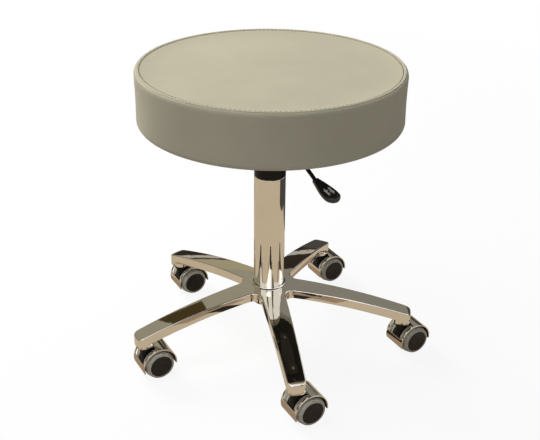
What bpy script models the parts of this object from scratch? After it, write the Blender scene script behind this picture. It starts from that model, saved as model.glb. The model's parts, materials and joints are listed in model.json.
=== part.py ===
"""Rolling clinic stool: a round padded seat on a gas lift, a five-legged base and twin-wheel casters.

Lengths are metres and +Z is up. The floor is z = 0, and the origin is under the middle of the stool's
outline. The column stands a little off it, because the five legs and the trailing casters reach further
to one side. The front leg points along -Y, and the seat is at its lowest.
"""

import math

import bmesh
import bpy
from mathutils import Matrix, Vector

# Clearances
SEAT_GAP = 0.0003            # between faces that rest on each other or are pressed together
RUN_GAP = 0.0005             # round a piece that turns or slides in its bore
SIDE_GAP = 0.0006            # beside a piece that turns between two faces

# Facets round a turned piece
SEAT_FACETS = 32
TUBE_FACETS = 24
WHEEL_FACETS = 24
BOSS_FACETS = 16
PIN_FACETS = 12
SMOOTH_ANGLE = math.radians(32)

# Where the rows of points lie on a curved form
RIM_ANGLES = (math.radians(25), math.radians(50), math.radians(72))
PANEL_SHARES = (1.0, 0.95, 0.8, 0.0)
LEG_SPREAD = (1.0, 2 / 3, 1 / 3, 0.0, -1 / 3, -2 / 3, -1.0)
LEG_SHARES = (0.12, 0.35, 0.6, 0.85)
PADDLE_SHARES = (0.0, 0.25, 0.5, 0.75, 1.0)
PADDLE_END_SHARES = (0.35, 0.65, 0.85, 0.97)

# Seat cushion
SEAT_DIAMETER = 0.406
SEAT_BAND = 0.0837           # side band, from its lower edge to the seam
SEAT_RIM = 0.0085            # seam set in from the seat's side
SEAT_RIM_DROP = 0.009        # fall of the band's rolled rim from the seam
SEAT_RIM_ROUNDNESS = 0.7     # power of its section: 1 is an ellipse, 0 a square edge
SEAT_DISH = 0.0035           # fall of the top panel from the seam to its middle
SEAT_ROLL = 12               # power of the panel's fall, higher for a narrower roll at its edge
SEAT_DRAW_IN = 0.0006        # how far the band is drawn in between its edges
SEAT_LOWER_ROUND = 0.008     # rounding of the lower edge
SEAM_DEPTH = 0.0015
SEAM_WIDTH = 0.003
COVER_WALL = 0.0015
COVER_TURN_UNDER = 0.026     # flat strip of the cover under the board
BOARD_THICKNESS = 0.012

# Seat plate, socket and bolts
PLATE_WIDTH = 0.160
PLATE_CORNER = 0.020
PLATE_THICKNESS = 0.0035
SOCKET_DIAMETER = 0.044
SOCKET_LENGTH = 0.0669
BOLT_MARGIN = 0.020          # bolt from the plate's edges
BOLT_DIAMETER = 0.006
BOLT_GRIP = 0.009            # thread in the board
BOLT_HEAD_DIAMETER = 0.012
BOLT_HEAD_HEIGHT = 0.004

# Gas lift
STROKE = 0.140
COLUMN_DIAMETER = 0.050
COLUMN_WALL = 0.002
COLUMN_TAPER = 0.0006        # taken off the column's radius through the hub
COLUMN_FLOOR = 0.006         # closed foot of the column
COLUMN_PROUD = 0.002         # foot standing out under the hub
BUSH_SLEEVE = 0.0615
BUSH_COLLAR = 0.018
SOCKET_REST = 0.006          # socket above the collar at the lowest seat
TUBE_DIAMETER = 0.028
TUBE_WALL = 0.002
TUBE_TAPER_LENGTH = 0.041
TUBE_TAPER = 0.001           # taken off the tube's radius along the taper
TUBE_GLAND = 0.020
TUBE_PLUG = 0.012
ROD_DIAMETER = 0.010
ROD_TAIL = 0.008             # rod below the column's foot
PISTON_LENGTH = 0.014
PISTON_REST = 0.002          # piston above the gland at the highest seat
BEARING_DIAMETER = 0.026
BEARING_HEIGHT = 0.006
SHOULDER_DIAMETER = 0.020
SHOULDER_HEIGHT = 0.003
BUFFER_DIAMETER = 0.026
BUFFER_HEIGHT = 0.008
CLIP_DIAMETER = 0.018
CLIP_THICKNESS = 0.0015
CLIP_GROOVE = 0.001

# Release lever and valve
BUTTON_DIAMETER = 0.008
BUTTON_RISE = 0.006
BUTTON_TIP_DIAMETER = 0.003
BUTTON_DOME = 0.0012
BUTTON_SHANK = 0.009
LEVER_HEADING = math.radians(-70.5)
LEVER_DIAMETER = 0.006
LEVER_EYE_HEIGHT = 0.0088
LEVER_EYE_ROUNDNESS = 0.5    # power of its section: 1 is an ellipse, 0 a rectangle
LEVER_ARM = 0.028            # pivot pin from the column's axis
LEVER_TOE = 0.003            # lever past the middle of the button
LEVER_NECK = 0.012           # lever straight past the pivot
LEVER_DROOP = math.radians(20.8)
LEVER_REACH = 0.130          # column's axis to the paddle
PIVOT_DIAMETER = 0.004
PIVOT_HEAD_DIAMETER = 0.007
PIVOT_HEAD = 0.0015
EAR_THICKNESS = 0.004
EAR_LENGTH = 0.010
EAR_MARGIN = 0.003           # ear below the pin
PADDLE_LENGTH = 0.058
PADDLE_WIDTH = 0.023
PADDLE_NECK_WIDTH = 0.0105
PADDLE_THICKNESS = 0.0095
PADDLE_ROUNDNESS = 0.6       # power of its section: 1 is an ellipse, 0 a rectangle
PADDLE_END_THICKNESS = 0.5   # the paddle's rounded end against its middle
PADDLE_DROOP = math.radians(10)
PADDLE_SOCKET = 0.022        # rod inside the paddle

# Star base
LEG_COUNT = 5
STEM_CIRCLE = 0.223          # column's axis to a caster's stem
LEG_ROOT_WIDTH = 0.0416      # the leg's sides, run on to the column's axis
LEG_TIP_WIDTH = 0.029
LEG_TIP_ROUNDNESS = 0.55     # power of the tip's outline: 1 is a half circle, 0 a square end
LEG_FILLET = 0.014           # between the roots of two legs
LEG_EDGE = 0.0016            # broken edge along the top
LEG_RISE = 0.032             # from the stem's axis up to the hub
LEG_ARCH = 0.005             # bow of the leg's top above a straight line
LEG_TIP_HEIGHT = 0.023       # leg top above the caster boss's lower face, at the stem
LEG_ROOT_DEPTH = 0.0145
LEG_TIP_DEPTH = 0.0165
LEG_WALL = 0.0035
LEG_ROOF = 0.004
LEG_DRAFT = 0.0008
HUB_HEIGHT = 0.028
HUB_WALL = 0.005
HUB_FLARE = 0.0025           # rise of the hub against the column
HUB_FLARE_WIDTH = 0.004

# Casters
CASTER_HEADING = math.radians(18.5)
CASTER_TRAIL = 0.0165        # wheel axle behind the stem
WHEEL_DIAMETER = 0.050
WHEEL_WIDTH = 0.0172
TREAD_DEPTH = 0.0078         # tyre from its tread to the hub
TREAD_SHOULDER = 0.0072
HUB_CAP_DISH = 0.0008        # hub's disc set in from the tyre
CORE_WIDTH = 0.0164
CORE_FOOT_DIAMETER = 0.030   # core where no hood covers it
AXLE_DIAMETER = 0.006
AXLE_INSET = 0.004           # axle's end from the wheel's outer face
HOOD_WIDTH = 0.041           # the tyres' shoulders stand out on both sides
HOOD_GAP = 0.0016            # hood round the tyres
HOOD_WALL = 0.002
HOOD_RIM = 0.0035            # strips beside the window
HOOD_TRAIL_END = math.radians(-8)
HOOD_LEAD_END = math.radians(200)
WINDOW_LEAD_EDGE = math.radians(166)
WINDOW_GAP = 0.0012
BOSS_DIAMETER = 0.022
BOSS_RISE = 0.0009           # boss above the hood
STEM_PIVOT_DIAMETER = 0.008
STEM_FLOOR = 0.002           # core under the stem
STEM_COLLAR_DIAMETER = 0.018
STEM_COLLAR = 0.0019
STEM_SHANK_DIAMETER = 0.011
STEM_SHANK = 0.017
STEM_CHAMFER = 0.001

# Heights of the casters and the base
WHEEL_RADIUS = WHEEL_DIAMETER / 2
HOOD_INNER = WHEEL_RADIUS + HOOD_GAP
HOOD_OUTER = HOOD_INNER + HOOD_WALL
CORE_TOP = WHEEL_RADIUS + HOOD_OUTER + BOSS_RISE
NECK_LOW = WHEEL_RADIUS + HOOD_OUTER * math.sin(WINDOW_LEAD_EDGE) + SIDE_GAP
STEM_LOW = NECK_LOW + STEM_FLOOR
COLLAR_BOTTOM = CORE_TOP + SEAT_GAP
COLLAR_TOP = COLLAR_BOTTOM + STEM_COLLAR
BOSS_BOTTOM = COLLAR_TOP + SEAT_GAP
TIP_TOP = BOSS_BOTTOM + LEG_TIP_HEIGHT
HUB_TOP = TIP_TOP + LEG_RISE
HUB_BOTTOM = HUB_TOP - HUB_HEIGHT

# Heights inside the column
COLUMN_BOTTOM = HUB_BOTTOM - COLUMN_PROUD
BEARING_BOTTOM = COLUMN_BOTTOM + COLUMN_FLOOR + SEAT_GAP
SHOULDER_BOTTOM = BEARING_BOTTOM + BEARING_HEIGHT + SEAT_GAP
BUFFER_BOTTOM = SHOULDER_BOTTOM + SHOULDER_HEIGHT + SEAT_GAP
TUBE_BOTTOM = BUFFER_BOTTOM + BUFFER_HEIGHT + SEAT_GAP
PISTON_BOTTOM = TUBE_BOTTOM + TUBE_GLAND + STROKE + PISTON_REST
COLUMN_TOP = TUBE_BOTTOM + STROKE + BUSH_SLEEVE
BUSH_TOP = COLUMN_TOP + SEAT_GAP + BUSH_COLLAR

# Heights of the seat
SOCKET_BOTTOM = BUSH_TOP + SOCKET_REST
PLATE_BOTTOM = SOCKET_BOTTOM + SOCKET_LENGTH
PLATE_TOP = PLATE_BOTTOM + PLATE_THICKNESS
BOARD_BOTTOM = PLATE_TOP + SEAT_GAP
BOARD_TOP = BOARD_BOTTOM + BOARD_THICKNESS
SEAT_BOTTOM = BOARD_BOTTOM - SEAT_GAP - COVER_WALL
TUBE_TOP = SOCKET_BOTTOM + TUBE_TAPER_LENGTH
BUTTON_TOP = TUBE_TOP + BUTTON_RISE
PIVOT_HEIGHT = BUTTON_TOP + SEAT_GAP + LEVER_EYE_HEIGHT / 2

# Radii that several pieces share
SEAT_RADIUS = SEAT_DIAMETER / 2
BOARD_RADIUS = SEAT_RADIUS - SEAT_LOWER_ROUND - COVER_WALL
COLUMN_RADIUS = COLUMN_DIAMETER / 2
TUBE_RADIUS = TUBE_DIAMETER / 2
ROD_RADIUS = ROD_DIAMETER / 2
PIVOT_RADIUS = PIVOT_DIAMETER / 2
STEM_RADIUS = STEM_PIVOT_DIAMETER / 2
LEG_TIP_RADIUS = LEG_TIP_WIDTH / 2
WHEEL_INNER_FACE = CORE_WIDTH / 2 + SIDE_GAP
WHEEL_OUTER_FACE = WHEEL_INNER_FACE + WHEEL_WIDTH
HUB_RADIUS = WHEEL_RADIUS - TREAD_DEPTH
LEG_STEP = 2 * math.pi / LEG_COUNT
FRONT = -math.pi / 2

# The middle of the outline lies halfway between the front stem and the back pair, moved by the trail.
OUTLINE_MIDDLE = Vector((
    CASTER_TRAIL * math.cos(CASTER_HEADING),
    CASTER_TRAIL * math.sin(CASTER_HEADING) - STEM_CIRCLE * (1 - math.cos(LEG_STEP / 2)) / 2,
    0.0,
))


def finish(name, colour, roughness, metallic):
    """Principled material of one finish."""
    made = bpy.data.materials.new(name)
    made.use_nodes = True
    shader = made.node_tree.nodes["Principled BSDF"]
    shader.inputs["Base Color"].default_value = (*colour, 1.0)
    shader.inputs["Roughness"].default_value = roughness
    shader.inputs["Metallic"].default_value = metallic
    return made


def frame_point(name, parent=None, location=(0.0, 0.0, 0.0), turn=0.0):
    """Empty that carries a group of pieces, turned about Z."""
    point = bpy.data.objects.new(name, None)
    bpy.context.scene.collection.objects.link(point)
    point.parent = parent
    point.location = location
    point.rotation_euler = (0.0, 0.0, turn)
    return point


def mesh_of(form, name):
    """Mesh of a bmesh form, shaded smooth up to its edges."""
    mesh = bpy.data.meshes.new(name)
    form.to_mesh(mesh)
    form.free()
    mesh.shade_smooth()
    mesh.set_sharp_from_angle(angle=SMOOTH_ANGLE)
    return mesh


def piece(name, mesh, material, parent, location=(0.0, 0.0, 0.0), rotation=(0.0, 0.0, 0.0)):
    """One sub-part of the stool."""
    made = bpy.data.objects.new(name, mesh)
    bpy.context.scene.collection.objects.link(made)
    made.parent = parent
    made.location = location
    made.rotation_euler = rotation
    if not mesh.materials:
        mesh.materials.append(material)
    return made


def combined(name, base, joined=(), cut=()):
    """Mesh of a form after others are joined to it and cut from it."""
    scene = bpy.context.scene.collection
    body = bpy.data.objects.new(name, mesh_of(base, name))
    scene.objects.link(body)
    tools = []
    for operation, forms in (("UNION", joined), ("DIFFERENCE", cut)):
        for form in forms:
            tool = bpy.data.objects.new(name + "_tool", mesh_of(form, name + "_tool"))
            tool.hide_render = True
            tool.display_type = "WIRE"
            scene.objects.link(tool)
            tools.append(tool)
            step = body.modifiers.new(operation.lower(), "BOOLEAN")
            step.operation = operation
            step.solver = "EXACT"
            step.object = tool
    ready = body.evaluated_get(bpy.context.evaluated_depsgraph_get())
    mesh = bpy.data.meshes.new_from_object(ready)
    for used in (body, *tools):
        bpy.data.objects.remove(used)
    mesh.name = name
    mesh.shade_smooth()
    mesh.set_sharp_from_angle(angle=SMOOTH_ANGLE)
    return mesh


def closed(form):
    """The form with its doubled points merged and its faces turned outwards."""
    bmesh.ops.remove_doubles(form, verts=form.verts, dist=1e-6)
    bmesh.ops.recalc_face_normals(form, faces=form.faces)
    return form


def turned(section, facets):
    """Solid turned about Z from (radius, height) points that run round its section.

    A section that meets the axis starts and ends there. A facet, not a corner, faces -Y.
    """
    form = bmesh.new()
    start = FRONT + math.pi / facets
    points = [form.verts.new((r * math.cos(start), r * math.sin(start), z)) for r, z in section]
    chain = points if section[0][0] == 0 else points + points[:1]
    edges = [form.edges.new(pair) for pair in zip(chain, chain[1:])]
    bmesh.ops.spin(
        form,
        geom=points + edges,
        cent=(0.0, 0.0, 0.0),
        axis=(0.0, 0.0, 1.0),
        angle=2 * math.pi,
        steps=facets,
    )
    return closed(form)


def lofted(rings):
    """Solid through a row of rings with equal numbers of points, closed at both ends."""
    form = bmesh.new()
    rows = [[form.verts.new(point) for point in ring] for ring in rings]
    for row, after in zip(rows, rows[1:]):
        for i in range(len(row)):
            j = (i + 1) % len(row)
            form.faces.new((row[i], row[j], after[j], after[i]))
    form.faces.new(rows[0])
    form.faces.new(rows[-1])
    return closed(form)


def prism(outline, low, high):
    """Solid of a flat (x, y) outline between two heights."""
    return lofted([[(x, y, z) for x, y in outline] for z in (low, high)])


def rod_form(radius, low, high, facets=PIN_FACETS):
    """Plain round bar about Z."""
    return turned([(0.0, low), (radius, low), (radius, high), (0.0, high)], facets)


def moved(form, location=(0.0, 0.0, 0.0), rotation=None):
    """The form turned and then shifted."""
    place = Matrix.Translation(location)
    if rotation is not None:
        place = place @ rotation
    bmesh.ops.transform(form, matrix=place, verts=form.verts)
    return form


def arc(centre, radius, start, end, steps):
    """Points of a circular arc, its ends included."""
    angles = [start + (end - start) * i / steps for i in range(steps + 1)]
    return [(centre[0] + radius * math.cos(a), centre[1] + radius * math.sin(a)) for a in angles]


def circumscribed(radius, facets):
    """Corner radius of a polygon whose flats lie on the radius."""
    return radius / math.cos(math.pi / facets)


# Seat cushion

def seat_section(inset):
    """Right half of the cushion's section, from its underside to the middle of its top, moved inwards.

    The lower edge is an arc, the band is drawn in along a parabola and rolls over in a quarter of a
    superellipse, a notch marks the seam, and the top panel falls as one minus a power of the radius.
    """
    edge = SEAT_RADIUS - inset
    low = SEAT_BOTTOM + inset
    seam = SEAT_BOTTOM + SEAT_BAND - inset
    turn = SEAT_LOWER_ROUND - inset
    points = arc((edge - turn, low + turn), turn, -math.pi / 2, 0.0, 3)
    band_low = low + turn
    band_high = seam - SEAT_RIM_DROP
    middle = (band_low + band_high) / 2
    points += [(edge - SEAT_DRAW_IN, middle), (edge, band_high)]
    seam_radius = edge - SEAT_RIM
    for angle in RIM_ANGLES:
        points.append((
            seam_radius + SEAT_RIM * math.cos(angle) ** SEAT_RIM_ROUNDNESS,
            band_high + SEAT_RIM_DROP * math.sin(angle) ** SEAT_RIM_ROUNDNESS,
        ))
    points.append((seam_radius, seam - SEAM_DEPTH))
    for share in PANEL_SHARES:
        fall = SEAT_DISH * (1 - share ** SEAT_ROLL)
        points.append(((seam_radius - SEAM_WIDTH) * share, seam - fall))
    return points


def bolt_places():
    """Plan positions of the four seat bolts."""
    half = PLATE_WIDTH / 2 - BOLT_MARGIN
    return [(half, half), (-half, half), (-half, -half), (half, -half)]


def bolt_holes(low, high):
    """Four clearance holes for the seat bolts."""
    radius = circumscribed(BOLT_DIAMETER / 2 + SEAT_GAP, PIN_FACETS)
    return [moved(rod_form(radius, low, high), (x, y, 0.0)) for x, y in bolt_places()]


def make_cushion(seat, finishes):
    """Cover, foam and board."""
    outside = seat_section(0.0)
    inside = seat_section(COVER_WALL)
    opening = SEAT_RADIUS - SEAT_LOWER_ROUND - COVER_TURN_UNDER
    turn_under = [(opening, SEAT_BOTTOM), (opening, SEAT_BOTTOM + COVER_WALL)]
    cover = turned(outside[::-1] + turn_under + inside, SEAT_FACETS)
    piece("seat_cover", mesh_of(cover, "seat_cover"), finishes["leatherette"], seat)

    padding = seat_section(COVER_WALL + SEAT_GAP)
    ledge = BOARD_RADIUS + SEAT_GAP
    bed = BOARD_TOP + SEAT_GAP
    recess = [(ledge, BOARD_BOTTOM), (ledge, bed), (0.0, bed)]
    foam = turned(padding[::-1] + recess, SEAT_FACETS)
    piece("seat_foam", mesh_of(foam, "seat_foam"), finishes["foam"], seat)

    disc = rod_form(BOARD_RADIUS, BOARD_BOTTOM, BOARD_TOP, SEAT_FACETS)
    holes = bolt_holes(BOARD_BOTTOM - BOARD_THICKNESS, BOARD_TOP + BOARD_THICKNESS)
    board = combined("seat_board", disc, cut=holes)
    piece("seat_board", board, finishes["plywood"], seat)


def make_bolts(seat, finishes):
    """Four pan-head bolts from under the plate into the board."""
    shank = BOLT_DIAMETER / 2
    head = BOLT_HEAD_DIAMETER / 2
    head_top = PLATE_BOTTOM - SEAT_GAP
    head_low = head_top - BOLT_HEAD_HEIGHT
    tip = BOARD_BOTTOM + BOLT_GRIP
    section = [
        (0.0, head_low),
        (shank, head_low),
        (head, head_low + BOLT_HEAD_HEIGHT / 2),
        (head, head_top),
        (shank, head_top),
        (shank, tip),
        (0.0, tip),
    ]
    mesh = mesh_of(turned(section, PIN_FACETS), "seat_bolt")
    for number, (x, y) in enumerate(bolt_places(), start=1):
        piece(f"seat_bolt_{number}", mesh, finishes["steel"], seat, (x, y, 0.0))


# Seat plate with its socket and the lever's yoke

def lever_side():
    """Half the width of the lever's slot."""
    return LEVER_DIAMETER / 2 + SIDE_GAP


def across(form, along, height):
    """A form turned from Z to the lever's pin direction, at a place along the lever."""
    place = (along, 0.0, height)
    return moved(form, place, Matrix.Rotation(math.pi / 2, 4, "X"))


def box_form(along, half_width, heights):
    """Block along the lever, between two distances and two heights."""
    near, far = along
    outline = [(near, -half_width), (far, -half_width), (far, half_width), (near, half_width)]
    return prism(outline, *heights)


def make_seat_plate(seat, lever_turn, finishes):
    """Steel plate with the taper socket and a slotted yoke that holds the lever's pin."""
    half = PLATE_WIDTH / 2
    inner = half - PLATE_CORNER
    outline = []
    for quarter in range(4):
        start = quarter * math.pi / 2
        middle = Matrix.Rotation(start, 2) @ Vector((inner, inner))
        outline += arc(middle, PLATE_CORNER, start, start + math.pi / 2, 4)
    plate = prism(outline, PLATE_BOTTOM, PLATE_TOP)

    weld = PLATE_BOTTOM + PLATE_THICKNESS / 2
    bore = TUBE_RADIUS + SEAT_GAP
    socket = turned(
        [
            (bore, SOCKET_BOTTOM),
            (SOCKET_DIAMETER / 2, SOCKET_BOTTOM),
            (SOCKET_DIAMETER / 2, weld),
            (bore - TUBE_TAPER, weld),
            (bore - TUBE_TAPER, TUBE_TOP),
        ],
        TUBE_FACETS,
    )

    yoke_end = LEVER_ARM + EAR_LENGTH / 2
    yoke_root = SOCKET_DIAMETER / 2 - EAR_THICKNESS
    yoke_low = PIVOT_HEIGHT - PIVOT_RADIUS - EAR_MARGIN
    yoke_half = lever_side() + EAR_THICKNESS
    yoke = box_form((yoke_root, yoke_end), yoke_half, (yoke_low, weld))
    slot_low = TUBE_TOP + SIDE_GAP
    slot_high = PIVOT_HEIGHT + LEVER_EYE_HEIGHT
    slot = box_form((0.0, yoke_end + EAR_LENGTH), lever_side(), (slot_low, slot_high))
    pin_bore = circumscribed(PIVOT_RADIUS + SEAT_GAP, PIN_FACETS)
    pin_hole = across(rod_form(pin_bore, -2 * yoke_half, 2 * yoke_half), LEVER_ARM, PIVOT_HEIGHT)
    for form in (yoke, slot, pin_hole):
        moved(form, rotation=lever_turn)
    holes = bolt_holes(PLATE_BOTTOM - PLATE_THICKNESS, PLATE_TOP + PLATE_THICKNESS)
    mesh = combined("seat_plate", plate, joined=(socket, yoke), cut=(slot, pin_hole, *holes))
    piece("seat_plate", mesh, finishes["painted_steel"], seat)


# Release lever

def ring_about(point, slope, half_width, half_height, power, count=PIN_FACETS):
    """Ring across the lever at a point (along, height), leaning back by the slope.

    The ring is a superellipse: cosine and sine raised to the power, with their signs kept.
    """
    ring = []
    for i in range(count):
        angle = 2 * math.pi * (i + 0.5) / count
        side = math.copysign(abs(math.cos(angle)) ** power, math.cos(angle)) * half_width
        rise = math.copysign(abs(math.sin(angle)) ** power, math.sin(angle)) * half_height
        ring.append((point[0] - rise * math.sin(slope), side, point[1] + rise * math.cos(slope)))
    return ring


def make_lever(lever, finishes):
    """Bent rod with an eye at its pin, and the paddle pushed on its end."""
    radius = LEVER_DIAMETER / 2
    eye = (radius, LEVER_EYE_HEIGHT / 2, LEVER_EYE_ROUNDNESS)
    bar = (radius, radius, 1.0)
    fall = (LEVER_REACH - LEVER_ARM - LEVER_NECK) * math.tan(LEVER_DROOP)
    bend = (LEVER_REACH - LEVER_ARM, -fall)
    end = (
        bend[0] + PADDLE_SOCKET * math.cos(PADDLE_DROOP),
        bend[1] - PADDLE_SOCKET * math.sin(PADDLE_DROOP),
    )
    rings = [
        ring_about((-LEVER_ARM - LEVER_TOE, 0.0), 0.0, *eye),
        ring_about((LEVER_EYE_HEIGHT / 2, 0.0), 0.0, *eye),
        ring_about((LEVER_EYE_HEIGHT, 0.0), 0.0, *bar),
        ring_about((LEVER_NECK, 0.0), -LEVER_DROOP / 2, *bar),
        ring_about(bend, -(LEVER_DROOP + PADDLE_DROOP) / 2, *bar),
        ring_about(end, -PADDLE_DROOP, *bar),
    ]
    hole = circumscribed(PIVOT_RADIUS + RUN_GAP, PIN_FACETS)
    eye_hole = across(rod_form(hole, -LEVER_DIAMETER, LEVER_DIAMETER), 0.0, 0.0)
    rod = combined("lever_rod", lofted(rings), cut=(eye_hole,))
    piece("lever_rod", rod, finishes["painted_steel"], lever)

    paddle = combined("lever_paddle", lofted(paddle_rings()), cut=(paddle_bore(),))
    droop = (0.0, PADDLE_DROOP, 0.0)
    piece("lever_paddle", paddle, finishes["black_plastic"], lever, (bend[0], 0.0, bend[1]), droop)


def paddle_rings():
    """Teardrop paddle: its width grows along half a cosine wave and closes in a half circle."""
    neck = PADDLE_NECK_WIDTH / 2
    wide = PADDLE_WIDTH / 2
    straight = PADDLE_LENGTH - wide
    thick = PADDLE_THICKNESS / 2
    rings = []
    for share in PADDLE_SHARES:
        width = neck + (wide - neck) * (1 - math.cos(math.pi * share)) / 2
        along = SIDE_GAP + (straight - SIDE_GAP) * share
        rings.append(ring_about((along, 0.0), 0.0, width, thick, PADDLE_ROUNDNESS, BOSS_FACETS))
    for share in PADDLE_END_SHARES:
        turn = share * math.pi / 2
        point = (straight + wide * math.sin(turn), 0.0)
        close = max(math.cos(turn), PADDLE_END_THICKNESS)
        size = (wide * math.cos(turn), thick * close)
        rings.append(ring_about(point, 0.0, *size, PADDLE_ROUNDNESS, BOSS_FACETS))
    return rings


def paddle_bore():
    """Blind hole for the rod's end, along the paddle."""
    radius = circumscribed(LEVER_DIAMETER / 2 + SEAT_GAP, PIN_FACETS)
    hole = rod_form(radius, -PADDLE_SOCKET, PADDLE_SOCKET + SIDE_GAP)
    return moved(hole, rotation=Matrix.Rotation(math.pi / 2, 4, "Y"))


def make_lever_pin(lever, finishes):
    """Headed pin through the yoke and the lever's eye."""
    half = lever_side() + EAR_THICKNESS
    section = [
        (0.0, -half - PIVOT_HEAD),
        (PIVOT_RADIUS, -half - PIVOT_HEAD),
        (PIVOT_RADIUS, half + SEAT_GAP),
        (PIVOT_HEAD_DIAMETER / 2, half + SEAT_GAP),
        (PIVOT_HEAD_DIAMETER / 2, half + SEAT_GAP + PIVOT_HEAD),
        (0.0, half + SEAT_GAP + PIVOT_HEAD),
    ]
    pin = across(turned(section, PIN_FACETS), 0.0, 0.0)
    piece("lever_pin", mesh_of(pin, "lever_pin"), finishes["steel"], lever)


# Gas lift

def column_radius(height):
    """Outside of the column: straight above the hub, and tapered down through it."""
    top = HUB_TOP + HUB_FLARE
    share = min(max((top - height) / (top - COLUMN_BOTTOM), 0.0), 1.0)
    return COLUMN_RADIUS - COLUMN_TAPER * share


def make_column(base, finishes):
    """Outer column with its closed foot, and the guide bush in its mouth."""
    floor = COLUMN_BOTTOM + COLUMN_FLOOR
    bore = COLUMN_RADIUS - COLUMN_WALL
    foot_hole = circumscribed(ROD_RADIUS + RUN_GAP, TUBE_FACETS)
    column = [
        (foot_hole, COLUMN_BOTTOM),
        (column_radius(COLUMN_BOTTOM), COLUMN_BOTTOM),
        (COLUMN_RADIUS, HUB_TOP + HUB_FLARE),
        (COLUMN_RADIUS, COLUMN_TOP),
        (bore, COLUMN_TOP),
        (bore, floor),
        (foot_hole, floor),
    ]
    mesh = mesh_of(turned(column, TUBE_FACETS), "outer_column")
    piece("outer_column", mesh, finishes["chrome"], base)

    guide = circumscribed(TUBE_RADIUS + RUN_GAP, TUBE_FACETS)
    sleeve = bore - SEAT_GAP
    shelf = COLUMN_TOP + SEAT_GAP
    bush = [
        (guide, COLUMN_TOP - BUSH_SLEEVE),
        (sleeve, COLUMN_TOP - BUSH_SLEEVE),
        (sleeve, shelf),
        (COLUMN_RADIUS, shelf),
        (COLUMN_RADIUS, BUSH_TOP - COLUMN_WALL),
        (COLUMN_RADIUS - COLUMN_WALL, BUSH_TOP),
        (guide, BUSH_TOP),
    ]
    mesh = mesh_of(turned(bush, TUBE_FACETS), "guide_bush")
    piece("guide_bush", mesh, finishes["black_plastic"], base)


def make_gas_tube(seat, finishes):
    """Pressure tube: a gland round the rod below, a bore for the piston and a plug for the valve."""
    gland = circumscribed(ROD_RADIUS + RUN_GAP, TUBE_FACETS)
    valve = circumscribed(BUTTON_DIAMETER / 2 + RUN_GAP, TUBE_FACETS)
    bore = TUBE_RADIUS - TUBE_WALL
    section = [
        (gland, TUBE_BOTTOM),
        (TUBE_RADIUS, TUBE_BOTTOM),
        (TUBE_RADIUS, SOCKET_BOTTOM),
        (TUBE_RADIUS - TUBE_TAPER, TUBE_TOP),
        (valve, TUBE_TOP),
        (valve, TUBE_TOP - TUBE_PLUG),
        (bore - TUBE_TAPER, TUBE_TOP - TUBE_PLUG),
        (bore, SOCKET_BOTTOM),
        (bore, TUBE_BOTTOM + TUBE_GLAND),
        (gland, TUBE_BOTTOM + TUBE_GLAND),
    ]
    mesh = mesh_of(turned(section, TUBE_FACETS), "gas_tube")
    piece("gas_tube", mesh, finishes["painted_steel"], seat)


def make_button(valve, finishes):
    """Valve button with a domed end."""
    radius = BUTTON_DIAMETER / 2
    section = [
        (0.0, TUBE_TOP - BUTTON_SHANK),
        (radius, TUBE_TOP - BUTTON_SHANK),
        (radius, BUTTON_TOP - BUTTON_DOME),
        (BUTTON_TIP_DIAMETER / 2, BUTTON_TOP),
        (0.0, BUTTON_TOP),
    ]
    mesh = mesh_of(turned(section, PIN_FACETS), "valve_button")
    piece("valve_button", mesh, finishes["steel"], valve)


def ring_section(inner, outer, low, height):
    """Section of a plain ring."""
    return [(inner, low), (outer, low), (outer, low + height), (inner, low + height)]


def make_spindle(spindle, base, finishes):
    """Piston rod with its clip and buffer, and the bearing that it turns on."""
    clip_top = COLUMN_BOTTOM - SEAT_GAP
    clip_low = clip_top - CLIP_THICKNESS
    groove = ROD_RADIUS - CLIP_GROOVE
    shoulder = SHOULDER_DIAMETER / 2
    piston = TUBE_RADIUS - TUBE_WALL - RUN_GAP
    section = [
        (0.0, COLUMN_BOTTOM - ROD_TAIL),
        (ROD_RADIUS, COLUMN_BOTTOM - ROD_TAIL),
        (ROD_RADIUS, clip_low - SEAT_GAP),
        (groove, clip_low - SEAT_GAP),
        (groove, COLUMN_BOTTOM),
        (ROD_RADIUS, COLUMN_BOTTOM),
        (ROD_RADIUS, SHOULDER_BOTTOM),
        (shoulder, SHOULDER_BOTTOM),
        (shoulder, SHOULDER_BOTTOM + SHOULDER_HEIGHT),
        (ROD_RADIUS, SHOULDER_BOTTOM + SHOULDER_HEIGHT),
        (ROD_RADIUS, PISTON_BOTTOM),
        (piston, PISTON_BOTTOM),
        (piston, PISTON_BOTTOM + PISTON_LENGTH),
        (0.0, PISTON_BOTTOM + PISTON_LENGTH),
    ]
    mesh = mesh_of(turned(section, TUBE_FACETS), "piston_rod")
    piece("piston_rod", mesh, finishes["steel"], spindle)

    round_rod = circumscribed(ROD_RADIUS + RUN_GAP, BOSS_FACETS)
    round_groove = circumscribed(groove + SEAT_GAP, BOSS_FACETS)
    clip = ring_section(round_groove, CLIP_DIAMETER / 2, clip_low, CLIP_THICKNESS)
    buffer = ring_section(round_rod, BUFFER_DIAMETER / 2, BUFFER_BOTTOM, BUFFER_HEIGHT)
    bearing = ring_section(round_rod, BEARING_DIAMETER / 2, BEARING_BOTTOM, BEARING_HEIGHT)
    rings = (
        ("retaining_clip", clip, "steel", spindle),
        ("rubber_buffer", buffer, "rubber", spindle),
        ("thrust_bearing", bearing, "steel", base),
    )
    for name, outline, material, carrier in rings:
        mesh = mesh_of(turned(outline, BOSS_FACETS), name)
        piece(name, mesh, finishes[material], carrier)


# Star base

def leg_top(distance):
    """Height of the leg's top at a distance from the column: a straight fall with a parabolic bow."""
    start = COLUMN_RADIUS + HUB_FLARE_WIDTH
    share = max((distance - start) / (STEM_CIRCLE - start), 0.0)
    return TIP_TOP + LEG_RISE * (1 - share) + 4 * LEG_ARCH * share * (1 - share)


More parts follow.
